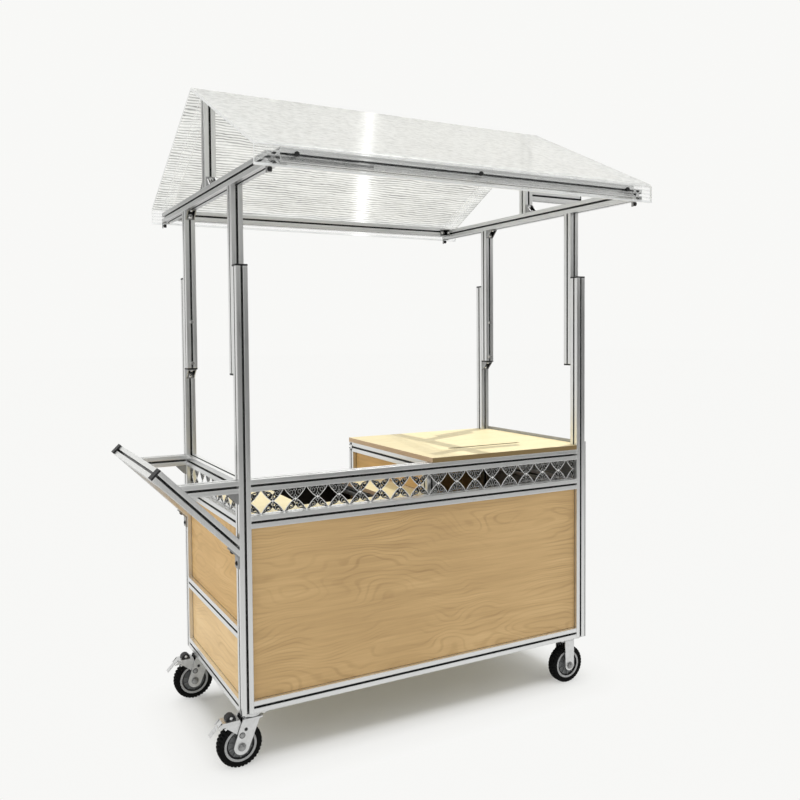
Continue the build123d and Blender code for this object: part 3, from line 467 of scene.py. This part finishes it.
def mesh_object(name, bm, *materials):
    """Put a bmesh into the scene as an object."""
    mesh = bpy.data.meshes.new(name)
    bm.to_mesh(mesh)
    bm.free()
    for each in materials:
        mesh.materials.append(each)
    obj = bpy.data.objects.new(name, mesh)
    scene.collection.objects.link(obj)
    return obj


def piece(name, bm, materials, body, smooth=True, replaces=()):
    """Turn a bmesh into a named piece that rides on a body."""
    bmesh.ops.remove_doubles(bm, verts=bm.verts, dist=1e-7)
    bmesh.ops.recalc_face_normals(bm, faces=bm.faces)
    obj = mesh_object(name, bm, *materials)
    if smooth:
        obj.data.polygons.foreach_set("use_smooth", [True] * len(obj.data.polygons))
        obj.data.set_sharp_from_angle(angle=math.radians(35))
    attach(obj, body)
    if replaces:
        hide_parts(*replaces)


def frame_at(origin, outward):
    """Matrix with its z along a direction, and its x level."""
    z = Vector(outward).normalized()
    x = Vector((0, 0, 1)).cross(z)
    if x.length < 1e-4:
        x = Vector((1, 0, 0)).cross(z)
    x.normalize()
    turn = Matrix((x, z.cross(x), z)).transposed().to_4x4()
    return Matrix.Translation(Vector(origin)) @ turn


def lathe(bm, matrix, profile, steps, radius_at=None, closed=True):
    """Ring of faces about a matrix's z from points (radius, height)."""
    rows = []
    for i in range(steps):
        angle = 2 * math.pi * i / steps
        row = []
        for radius, height in profile:
            r = radius_at(i, radius, height) if radius_at else radius
            row.append(bm.verts.new(matrix @ Vector((r * math.cos(angle), r * math.sin(angle), height))))
        rows.append(row)
    count = len(profile)
    for i in range(steps):
        a, b = rows[i], rows[(i + 1) % steps]
        for j in range(count if closed else count - 1):
            k = (j + 1) % count
            bm.faces.new([a[j], b[j], b[k], a[k]])
    return rows


def turned(bm, matrix, profile, steps):
    """Closed turned shape: the profile starts and ends on the axis."""
    first, *rings, last = profile
    rows = lathe(bm, matrix, rings, steps, closed=False)
    for height, index in ((first[1], 0), (last[1], -1)):
        tip = bm.verts.new(matrix @ Vector((0, 0, height)))
        for i in range(steps):
            bm.faces.new([tip, rows[i][index], rows[(i + 1) % steps][index]])


def prism(bm, matrix, outline, low, high):
    """Closed prism of an outline between two heights of a matrix."""
    lower, upper = [[bm.verts.new(matrix @ Vector((x, y, level))) for x, y in outline] for level in (low, high)]
    bm.faces.new(lower)
    bm.faces.new(upper)
    for i in range(len(outline)):
        j = (i + 1) % len(outline)
        bm.faces.new([lower[i], lower[j], upper[j], upper[i]])


def hexagon(radius, start=0.0):
    """Corners of a hexagon, the first one at an angle."""
    angles = [start + math.pi * i / 3 for i in range(6)]
    return [(radius * math.cos(angle), radius * math.sin(angle)) for angle in angles]


def mirrored(half):
    """Whole section (radius, height) of its upper half."""
    return half + [(radius, -height) for radius, height in reversed(half)]


def button_bolt(bm, origin, outward):
    """Button head screw with a socket and a thin washer."""
    radius, height = 0.0066, 0.0042
    washer, sunk = 1.28 * radius, -0.0004
    disc = [(0, sunk), (washer, sunk), (washer, 0.001), (radius, 0.001)]
    dome = [(radius, 0.0012), (radius * 0.93, height * 0.5), (radius * 0.78, height * 0.85), (radius * 0.62, height)]
    socket = [(radius * 0.42, height), (radius * 0.42, height * 0.35), (0, height * 0.35)]
    turned(bm, frame_at(origin, outward), disc + dome + socket, 18)


def hex_bolt(bm, origin, outward):
    """Hexagon head on a washer, with a domed top."""
    across, height = 0.013, 0.0055
    washer, washer_top, sunk = 0.75 * across, 0.0014, -0.0004
    matrix = frame_at(origin, outward)
    turned(bm, matrix, [(0, sunk), (washer, sunk), (washer, washer_top), (0, washer_top)], 20)
    prism(bm, matrix, hexagon(across / 2 / math.cos(math.pi / 6)), washer_top, height)
    dome_low, dome_top = height - 0.001, height + 0.0006
    turned(bm, matrix, [(0, dome_low), (across * 0.46, dome_low), (across * 0.42, dome_top), (0, dome_top)], 20)


# Wheels: treaded tyre, flanged rim with ribs, hub and bearing shield
tyre_half = [(0.0552, 0.0172), (0.0585, 0.0192), (0.0635, 0.0199), (0.0685, 0.0196), (0.0705, 0.0182), (0.0728, 0.0165),
             (0.0741, 0.0148), (0.0748, 0.0120), (0.0750, 0.0092), (0.0750, 0.0074), (0.0750, 0.0030)]
tyre_bead = [(0.0600, 0.0192), (0.0606, 0.0207), (0.0622, 0.0207), (0.0630, 0.0192)]
tread_from = 0.0700
tread_middle = 0.008
shoulder_cut, middle_cut = 0.0045, 0.0022
tread_blocks, block_steps, groove_steps = 36, 6, 2
rim_half = [(0.0552, 0.0170), (0.0540, 0.0182), (0.0480, 0.0182), (0.0468, 0.0170), (0.0462, 0.0110), (0.0420, 0.0100),
            (0.0412, 0.0112), (0.0240, 0.0116), (0.0215, 0.0126), (0.0200, 0.0200), (0.0185, 0.0216), (0.0120, 0.0216),
            (0.0105, 0.0204), (0.0062, 0.0204)]
flange_out, flange_in, groove_in = 0.0552, 0.0468, 0.0415
flange_level = 0.0155
rib_outline = [(0.0195, -0.0030), (0.0412, -0.0022), (0.0412, 0.0022), (0.0195, 0.0030)]
rib_low, rib_high, rib_count = 0.0105, 0.0158, 10
rim_looks = [rim_grey, flange_grey, black]


def tread(i, radius, height):
    """Radius with grooves between blocks: those of the middle and of one shoulder are half a block on."""
    if radius < tread_from:
        return radius
    step = i if height > tread_middle else i + block_steps // 2
    if step % block_steps >= groove_steps:
        return radius
    return radius - (shoulder_cut if abs(height) > tread_middle else middle_cut)


for wheel, centre in wheels.items():
    matrix = frame_at(centre, (0, -1, 0))
    bm = bmesh.new()
    lathe(bm, matrix, mirrored(tyre_half), tread_blocks * block_steps, radius_at=tread)
    for side in (-1, 1):
        lathe(bm, matrix, [(radius, side * height) for radius, height in tyre_bead], 96)
    piece(f"{wheel}_treaded_tyre", bm, [rubber], f"{wheel}_wheel", replaces=[f"{wheel}_tyre"])

    bm = bmesh.new()
    lathe(bm, matrix, mirrored(rim_half), 72)
    for side in (-1, 1):
        for k in range(rib_count):
            turn = Matrix.Rotation(2 * math.pi * (k + 0.5) / rib_count, 4, "Z")
            prism(bm, matrix @ turn, rib_outline, side * rib_low, side * rib_high)
    # Faces in the groove inside the flange take black plastic: painted shade in the groove.
    for face in bm.faces:
        place = matrix.inverted() @ face.calc_center_median()
        out = math.hypot(place.x, place.y)
        if flange_in < out < flange_out and abs(place.z) > flange_level:
            face.material_index = rim_looks.index(flange_grey)
        elif groove_in < out <= flange_in:
            face.material_index = rim_looks.index(black)
    piece(f"{wheel}_ribbed_rim", bm, rim_looks, f"{wheel}_wheel", replaces=[f"{wheel}_rim"])

# Roof sheets: one folded slab to each slope, with taped ends
sheet_thick = 0.010
fold_in, fold_down, fold_steps = 0.012, 0.011, 5
slope_steps, length_steps = 24, 12
fascia_from = slope_steps + 3           # strips of the section that look like the fascia, from here on
sheet_looks = [clear, clear_fascia, sheet_edge]
slope_look, fascia_look, tape_look = range(len(sheet_looks))


def roof_outside():
    """Points (out, level) down the slope, round the fold and down the fascia."""
    points = []
    for i in range(slope_steps + 1):
        out = (fold_out - fold_in) * i / slope_steps
        points.append((out, ridge - out * math.tan(slope)))
    start, corner, end = Vector(points[-1]), Vector((fold_out, fold_level)), Vector((fold_out, fold_level - fold_down))
    for i in range(1, fold_steps + 1):
        t = i / fold_steps
        points.append(tuple((1 - t) ** 2 * start + 2 * t * (1 - t) * corner + t ** 2 * end))
    return points + [(fold_out, (fold_level + fascia_low) / 2), (fold_out, fascia_low)]


def roof_inside(outside):
    """The same points, moved in by the sheet's thickness."""
    points = [(0.0, ridge - sheet_thick / math.cos(slope))]
    for i in range(1, len(outside)):
        out, level = outside[i]
        along = (Vector(outside[min(i + 1, len(outside) - 1)]) - Vector(outside[i - 1])).normalized()
        points.append((out + along.y * sheet_thick, level - along.x * sheet_thick))
    return points


outside = roof_outside()
lines = (outside, roof_inside(outside))
last = len(outside) - 1
stations = [roof_half_length * (2 * k / length_steps - 1) for k in range(length_steps + 1)]
for side, name in ((-1, "front"), (1, "back")):
    bm = bmesh.new()
    top, under = [[[bm.verts.new((x, side * out, level)) for out, level in line] for x in stations] for line in lines]
    for grid in (top, under):
        for k in range(length_steps):
            for i in range(last):
                face = bm.faces.new([grid[k][i], grid[k + 1][i], grid[k + 1][i + 1], grid[k][i + 1]])
                face.material_index = fascia_look if i >= fascia_from else slope_look
    for k in range(length_steps):
        for i, look in ((0, slope_look), (last, tape_look)):
            face = bm.faces.new([top[k][i], top[k + 1][i], under[k + 1][i], under[k][i]])
            face.material_index = look
    for k in (0, length_steps):
        for i in range(last):
            face = bm.faces.new([top[k][i], top[k][i + 1], under[k][i + 1], under[k][i]])
            face.material_index = tape_look
    piece(f"{name}_folded_sheet", bm, sheet_looks, "canopy", replaces=[f"roof_{name}_sheet"])

# Screws of the brackets and caster plates
bracket_leg = 0.004
screw_out = 0.024
plate_thick = 0.005
canopy_screws = bmesh.new()
frame_screws = bmesh.new()
black_screws = bmesh.new()


def bracket_screws(bm, corner, first, second):
    """Screws in the two legs of an angle bracket, which run from its corner along two directions."""
    corner, first, second = Vector(corner), Vector(first), Vector(second)
    for along, outward in ((first, second), (second, first)):
        button_bolt(bm, corner + along * screw_out + outward * bracket_leg, outward)


canopy_post_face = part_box("canopy_back_right_post")[0].y
cap_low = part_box("canopy_caps")[0].z
eave_face = eave_beam_high.y - bar
corner_level = (eave_beam_low.z + end_beam_high.z) / 2
for end in (-1, 1):
    x = end * post_x
    bracket_screws(canopy_screws, (x, canopy_post_face, end_beam_low.z), (0, -1, 0), (0, 0, -1))
    bracket_screws(frame_screws, (x, post_low.y, cap_low), (0, -1, 0), (0, 0, -1))
    for side in (-1, 1):
        eave_corner = (end * eave_beam_high.x, side * eave_face, corner_level)
        bracket_screws(canopy_screws, eave_corner, (-end, 0, 0), (0, -side, 0))
        if (end, side) != (1, 1):  # the right king post has no bracket behind it
            bracket_screws(canopy_screws, (x, side * bar / 2, end_beam_high.z), (0, side, 0), (0, 0, 1))

# Handle: screws of the brackets under its braces, and black screws of the slanted arms' foot brackets at (X, Z)
foot_screw = (-0.725, 0.689)
slant_screw = (-0.7405, 0.7269)
for side in (-1, 1):
    y = side * post_y
    bracket_screws(frame_screws, (brace_high.x, y, brace_low.z), (-1, 0, 0), (0, 0, -1))
    button_bolt(black_screws, (foot_screw[0], y, foot_screw[1]), (-1, 0, 0))
    button_bolt(black_screws, (slant_screw[0], y, slant_screw[1]), (-1, 0, -1))

# Four bolts to a caster plate, by their distance from its middle in X and Y
bolt_reach = {"swivel_plates": (0.030, 0.040), "fixed_forks": (0.040, 0.030)}
for wheel, centre in wheels.items():
    plate = "swivel_plates" if wheel.endswith("left") else "fixed_forks"
    reach_x, reach_y = bolt_reach[plate]
    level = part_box(plate)[1].z - plate_thick
    for dx in (-reach_x, reach_x):
        for dy in (-reach_y, reach_y):
            hex_bolt(frame_screws, (middle(plate).x + dx, centre.y + dy, level), (0, 0, -1))
piece("canopy_screws", canopy_screws, [bright_steel], "canopy")
piece("frame_screws", frame_screws, [bright_steel], "cart")
piece("black_screws", black_screws, [black], "cart")

# Fretwork as pierced lace: pointed arches between the stars, with scrolls inside them, and a dark sheet behind each
# arch that paints the shade behind the lace
arch_pitch = 0.080
arch_reach, arch_height, arch_power, arch_steps = 0.0385, 0.0412, 1.28, 24
arch_stroke, scroll_stroke, fine_stroke = 0.0019, 0.0008, 0.0007
arch_thick, stroke_thick, ground_thick = 0.0014, 0.0010, 0.0004
foot = -0.001                           # strokes run on a little under the arch's foot
ground_eye = 0.012                      # the ground's rings shrink towards this height
ground_rings = (1.0, 0.72, 0.46, 0.2)
pierced_ring, pierced_every, pierced_first = 1, 5, 3
knot_reach, knot_rise, knot_depth = 0.0042, 0.00546, 0.0016
fret_high = rail_high.z - bar
fret_low = fret_high - arch_pitch
slot_reach = 0.0085                     # into the slots of the posts
low_border, low_border_width = fret_low - 0.0050, 0.0120
high_border, high_border_width = fret_high + 0.0036, 0.0090
border_thick, border_steps = 0.0024, 34


def ribbon(bm, matrix, points, width, thick, closed=False):
    """Flat band along points of a matrix's plane."""
    count = len(points)
    rows = []
    for i, (u, v) in enumerate(points):
        if closed:
            before, after = points[i - 1], points[(i + 1) % count]
        else:
            before, after = points[max(i - 1, 0)], points[min(i + 1, count - 1)]
        du, dv = after[0] - before[0], after[1] - before[1]
        half = width / 2 / (math.hypot(du, dv) or 1.0)
        row = []
        for s, t in ((1, 1), (1, -1), (-1, -1), (-1, 1)):
            corner = Vector((u - s * half * dv, v + s * half * du, t * thick / 2))
            row.append(bm.verts.new(matrix @ corner))
        rows.append(row)
    for i in range(count if closed else count - 1):
        a, b = rows[i], rows[(i + 1) % count]
        for j in range(4):
            k = (j + 1) % 4
            bm.faces.new([a[j], b[j], b[k], a[k]])
    if not closed:
        bm.faces.new(rows[0])
        bm.faces.new(rows[-1])


def arc(u, v, radius, start, stop, steps, shrink=0.0):
    """Points of an arc, in degrees, or of a spiral that closes up by a share of its radius."""
    points = []
    for i in range(steps + 1):
        t = i / steps
        angle = math.radians(start + (stop - start) * t)
        r = radius * (1 - shrink * t)
        points.append((u + r * math.cos(angle), v + r * math.sin(angle)))
    return points


def arch_outline():
    """Points of the pointed arch, from one foot to the other."""
    points = []
    for i in range(arch_steps + 1):
        c, s = math.cos(math.pi * i / arch_steps), abs(math.sin(math.pi * i / arch_steps))
        points.append((math.copysign(abs(c) ** (2 / arch_power), c) * arch_reach, s ** (2 / arch_power) * arch_height))
    return points


def lace_shade_sheet(bm, matrix, low, high):
    """Dark sheet that paints the shade behind the lace, inside a pointed arch, pierced between the scrolls, from u =
    low to high.
    """
    outline = arch_outline()
    rows = [[(u * t, ground_eye + (v - ground_eye) * t) for u, v in outline] for t in ground_rings]
    for j in range(len(rows) - 1):
        for i in range(arch_steps):
            pierced = j == pierced_ring and i % pierced_every == pierced_first
            corners = [rows[j][i], rows[j][i + 1], rows[j + 1][i + 1], rows[j + 1][i]]
            if not pierced and all(low <= u <= high for u, v in corners):
                bm.faces.new([bm.verts.new(matrix @ Vector((u, v, 0.0))) for u, v in corners])


def half_rosette(bm, matrix, low, high):
    """Pointed arch with two scrolls, a bud, rings and stems, standing on v = 0, from u = low to high."""
    scroll = [(0.0135, foot)] + arc(0.016, 0.0155, 0.0118, -95, 400, 20, shrink=0.74)
    stems = [[(0, foot), (0, 0.0032)], [(0, 0.0124), (0, 0.0244)], [(0, 0.0336), (0, 0.0408)]]
    rings = [arc(0, 0.0290, 0.0046, -90, 225, 7), arc(0, 0.0078, 0.0046, -90, 225, 7)]
    twigs = []
    for side in (-1, 1):
        stems.append([(side * u, v) for u, v in scroll])
        stems.append([(side * 0.0222, 0.0208), (side * 0.0238, 0.0222)])
        rings.append(arc(side * 0.0300, 0.0056, 0.0036, 0, 315, 7))
        twigs.append([(side * 0.0300, 0.0022), (side * 0.0300, foot)])
        twigs.append([(side * 0.0046, 0.0090), (side * 0.0072, 0.0120)])
        twigs.append([(side * 0.0040, 0.0300), (side * 0.0115, 0.0335)])
    strokes = [(arch_outline(), arch_stroke, arch_thick, False)]
    strokes += [(points, scroll_stroke, stroke_thick, False) for points in stems]
    strokes += [(points, fine_stroke, stroke_thick, False) for points in twigs]
    strokes += [(points, fine_stroke, stroke_thick, True) for points in rings]
    for points, width, thick, closed in strokes:
        kept = [(u, v) for u, v in points if low <= u <= high]
        if len(kept) > 1:
            ribbon(bm, matrix, kept, width, thick, closed and len(kept) == len(points))


# Each band's plane takes (along, up, through) to the scene
front_plane = Matrix(((1, 0, 0, 0), (0, 0, 1, middle("front_fretwork").y), (0, 1, 0, 0), (0, 0, 0, 1)))
left_plane = Matrix(((0, 0, 1, middle("left_fretwork").x), (1, 0, 0, 0), (0, 1, 0, 0), (0, 0, 0, 1)))
bands = {
    "front_lace": ("front_fretwork", front_plane, rail_high.x),
    "left_lace": ("left_fretwork", left_plane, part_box("left_end_rails")[1].y),
}
for name, (node, plane, half_length) in bands.items():
    lace = bmesh.new()
    ground = bmesh.new()
    whole = round(2 * half_length / arch_pitch) - 1
    arches = [(arch_pitch * (k + 1) - half_length, -arch_reach, arch_reach) for k in range(whole)]
    ends = [(-half_length, -slot_reach, arch_reach), (half_length, -arch_reach, slot_reach)]
    for u, low, high in arches + ends:
        for level, up in ((fret_low, 1), (fret_high, -1)):
            matrix = plane @ Matrix.Translation((u, level, 0)) @ Matrix.Diagonal((1, up, 1, 1))
            half_rosette(lace, matrix, low, high)
            lace_shade_sheet(ground, matrix, low, high)
    knot = [(-knot_reach, 0), (0, -knot_rise), (knot_reach, 0), (0, knot_rise)]
    for u, _, _ in arches:
        prism(lace, plane @ Matrix.Translation((u, (fret_low + fret_high) / 2, 0)), knot, -knot_depth, knot_depth)
    reach = half_length + slot_reach
    for level, width in ((low_border, low_border_width), (high_border, high_border_width)):
        border = [(reach * (2 * i / border_steps - 1), level) for i in range(border_steps + 1)]
        ribbon(lace, plane, border, width, border_thick)
    piece(name, lace, [fret_silver], "cart", smooth=False, replaces=[node])
    bmesh.ops.remove_doubles(ground, verts=ground.verts, dist=1e-6)
    bmesh.ops.solidify(ground, geom=ground.faces[:], thickness=ground_thick)
    piece(f"{name}_ground", ground, [lace_shade_colour], "cart", smooth=False)

# Caster details, placed from the wheel's centre: axle nuts, pivot heads, leg holes painted as black discs and brake
# covers
fork_face = 0.0310
pivot_x, pivot_z = 0.002, 0.038
hole_x, hole_z = 0.015, 0.056
brake_x, brake_z = -0.030, 0.0885
cover_radius, cover_half, cover_steps = 0.0165, 0.0150, 14
cover_rib = [(0.0160, -0.0012), (0.0176, -0.0009), (0.0176, 0.0009), (0.0160, 0.0012)]
cover_ribs, cover_rib_half = 5, 0.0135
cam_pin_z = 0.0955
tongue_x, tongue_z = -0.060, 0.087
grip = [(-0.0014, -0.0100), (0.0014, -0.0100), (0.0022, 0.0), (0.0014, 0.0100), (-0.0014, 0.0100), (-0.0022, 0.0)]
grip_places, grip_lift = (0.020, 0.031, 0.042), 0.0004


def axle_nut(bm, matrix):
    """Hexagon nut on a washer, with the axle's end in it."""
    turned(bm, matrix, [(0, -0.0002), (0.0142, -0.0002), (0.0142, 0.0016), (0.0128, 0.0022), (0, 0.0022)], 28)
    prism(bm, matrix, hexagon(0.0113, start=0.3), 0.0016, 0.0078)
    turned(bm, matrix, [(0, 0.0070), (0.0094, 0.0070), (0.0090, 0.0088), (0.0066, 0.0096), (0.0060, 0.0118),
                        (0, 0.0122)], 24)


def pivot_head(metal, marks, matrix):
    """Riveted head of the brake's pivot, in a dark ring."""
    turned(metal, matrix, [(0, -0.0002), (0.0082, -0.0002), (0.0082, 0.0012), (0.0074, 0.0020), (0.0050, 0.0020),
                           (0.0046, 0.0030), (0.0030, 0.0040), (0, 0.0042)], 24)
    lathe(marks, matrix, [(0.0080, 0.0013), (0.0086, 0.0013), (0.0086, -0.0002), (0.0100, -0.0002), (0.0100, 0.0006),
                          (0.0088, 0.0016)], 28)


def leg_hole(metal, marks, matrix):
    """Black disc that paints the shade of a hole in a fork's leg, with a raised rim."""
    turned(marks, matrix, [(0, -0.0003), (0.0052, -0.0003), (0.0050, 0.0004), (0, 0.0003)], 20)
    lathe(metal, matrix, [(0.0052, -0.0002), (0.0066, -0.0002), (0.0062, 0.0007), (0.0054, 0.0008)], 24)


for wheel, (x, y, z) in wheels.items():
    swivels = wheel.endswith("left")
    holder = f"{wheel}_caster" if swivels else "cart"
    nuts = bmesh.new()
    marks = bmesh.new()
    for side in (-1, 1):
        out, face_y = (0, side, 0), y + side * fork_face
        axle_nut(nuts, frame_at((x, face_y, z), out))
        if swivels:
            pivot_head(nuts, marks, frame_at((x + pivot_x, face_y, z + pivot_z), out))
            leg_hole(nuts, marks, frame_at((x + hole_x, face_y, z + hole_z), out))
    piece(f"{wheel}_axle_nuts", nuts, [cast_grey], holder)
    if not swivels:
        marks.free()
        continue
    piece(f"{wheel}_leg_marks", marks, [black], holder)

    brake = f"{wheel}_brake"
    cover = bmesh.new()
    side_view = frame_at((x + brake_x, y, z + brake_z), (0, -1, 0))
    prism(cover, side_view, arc(0, 0, cover_radius, 0, 180, cover_steps), -cover_half, cover_half)
    for k in range(cover_ribs):
        turn = Matrix.Rotation(math.pi * (k + 1) / (cover_ribs + 1), 4, "Z")
        prism(cover, side_view @ turn, cover_rib, -cover_rib_half, cover_rib_half)
    piece(f"{wheel}_brake_cover", cover, [black], brake)

    cam = bmesh.new()
    for side in (-1, 1):
        pin = frame_at((x + brake_x, y + side * cover_half, z + cam_pin_z), (0, side, 0))
        turned(cam, pin, [(0, -0.0002), (0.0052, -0.0002), (0.0052, 0.0010), (0.0030, 0.0018), (0, 0.0019)], 18)
    tongue = Vector((-1, 0, -1)).normalized()
    lift = Vector((tongue.z, 0, -tongue.x))
    turn = Matrix((tongue, Vector((0, 1, 0)), lift)).transposed().to_4x4()
    for step in grip_places:
        place = Vector((x + tongue_x, y, z + tongue_z)) + tongue * step + lift * grip_lift
        prism(cam, Matrix.Translation(place) @ turn, grip, -0.0006, 0.0010)
    piece(f"{wheel}_brake_cam", cam, [zinc_metal], brake)

# Floor and light


def flat_sheet(name, half, material):
    """Square sheet about the origin."""
    bm = bmesh.new()
    bmesh.ops.create_grid(bm, x_segments=2, y_segments=2, size=half)
    return mesh_object(name, bm, material)


def floor_paint():
    """White floor that takes the cart's shadow near it and fades to the backdrop's tone further out."""
    g = Graph("floor_paint")
    g.put(g.shader, Base_Color=(0.93, 0.93, 0.915, 1.0), Roughness=0.9, Specular_IOR_Level=0.0)
    shaded_half = {"X": 0.68, "Y": 0.25}
    past = []
    for axis, half in shaded_half.items():
        past.append(g.math("MAXIMUM", g.minus(g.math("ABSOLUTE", g.axis(g.coord, axis)), half), 0.0))
    away = g.math("SQRT", g.plus(*[g.times(part, part) for part in past]))
    fade = g.ramp(away, (0.0, 0.0), (0.06, 0.5), (0.14, 0.85), (0.26, 1.0))
    glow = g.put(g.add("ShaderNodeEmission"), Color=(0.935, 0.935, 0.92, 1.0))
    rays = g.add("ShaderNodeLightPath").outputs
    seen = g.math("MAXIMUM", rays["Is Camera Ray"], rays["Is Glossy Ray"])
    seen = g.math("MAXIMUM", seen, rays["Is Transmission Ray"])
    g.show(g.blend(g.times(fade, seen), g.shader, glow))
    return g.material


def mirror_card(name, origin, outward, half_width, half_height, axis, stops):
    """Paper card that only mirroring faces see, with its tone changing along one of its sides."""
    g = Graph(f"{name}_paint")
    place = g.plus(0.5, g.times(g.axis(g.coord, axis), 0.5))
    g.put(g.shader, Base_Color=g.ramp(place, *stops), Roughness=0.9, Specular_IOR_Level=0.0)
    card = flat_sheet(name, 1.0, g.material)
    card.matrix_world = frame_at(origin, outward) @ Matrix.Diagonal((half_width, half_height, 1.0, 1.0))
    card.visible_camera = False
    card.visible_diffuse = False
    card.visible_transmission = False
    card.visible_shadow = False
    return card


floor = flat_sheet("floor", 60.0, floor_paint())

world = bpy.data.worlds.new("studio")
scene.world = world
world.use_nodes = True
world.node_tree.nodes["Background"].inputs["Color"].default_value = (0.94, 0.94, 0.925, 1.0)

from_front, from_back, upward = (-0.46, 0.885, 0.0), (0.0, -1.0, 0.0), (0.0, 0.0, 1.0)
cards = [
    mirror_card("front_card", (2.4, -4.6, 1.25), from_front, 2.6, 1.2, "Y",
                [(0.0, 0.25), (0.15, 0.06), (0.82, 0.06), (1.0, 0.35)]),
    mirror_card("eave_card", (2.4, -4.6, 2.95), from_front, 2.6, 0.5, "X",
                [(0.22, 0.92), (0.36, 0.55), (0.50, 0.42), (0.75, 0.60)]),
    mirror_card("front_floor_card", (0.6, -5.2, 0.003), upward, 2.2, 1.5, "X", [(0.45, 0.55), (0.62, 0.85)]),
    mirror_card("back_card", (-2.9, 4.6, 3.15), from_back, 1.7, 0.75, "X", [(0.0, 0.55), (0.6, 0.40), (1.0, 0.32)]),
    mirror_card("low_back_card", (3.2, 5.2, 1.0), from_back, 3.4, 0.42, "Y", [(0.0, 0.12), (1.0, 0.10)]),
]

# One small sun, which lights the cart but not the floor or the cards
sun_from = Vector((0.431, 0.19, 0.882))
sun = bpy.data.lights.new("key_light", "SUN")
sun.energy = 1.9
sun.angle = math.radians(0.5)
key = bpy.data.objects.new("key_light", sun)
key.rotation_mode = "QUATERNION"
key.rotation_quaternion = sun_from.to_track_quat("Z", "Y")
scene.collection.objects.link(key)
lit = bpy.data.collections.new("lit_by_key")
for obj in scene.objects:
    if obj.type == "MESH" and obj != floor and obj not in cards:
        lit.objects.link(obj)
key.light_linking.receiver_collection = lit

# Camera, fitted to the photograph's edges
eye = (-1.5077, -2.9082, 1.4199)
view_right = Vector((0.87756, -0.47941, -0.00747))
view_up = Vector((0.0256, 0.03128, 0.99918))
view_back = view_right.cross(view_up).normalized()
view_right = view_up.cross(view_back).normalized()
camera_data = bpy.data.cameras.new("camera")
camera_data.sensor_width = 36.0
camera_data.lens = 36.85
camera_data.shift_x = -0.0035
camera_data.shift_y = -0.0385
camera_data.clip_end = 200.0
camera = bpy.data.objects.new("camera", camera_data)
camera.matrix_world = Matrix.Translation(eye) @ Matrix((view_right, view_up, view_back)).transposed().to_4x4()
scene.collection.objects.link(camera)
scene.camera = camera
scene.view_settings.view_transform = "Standard"
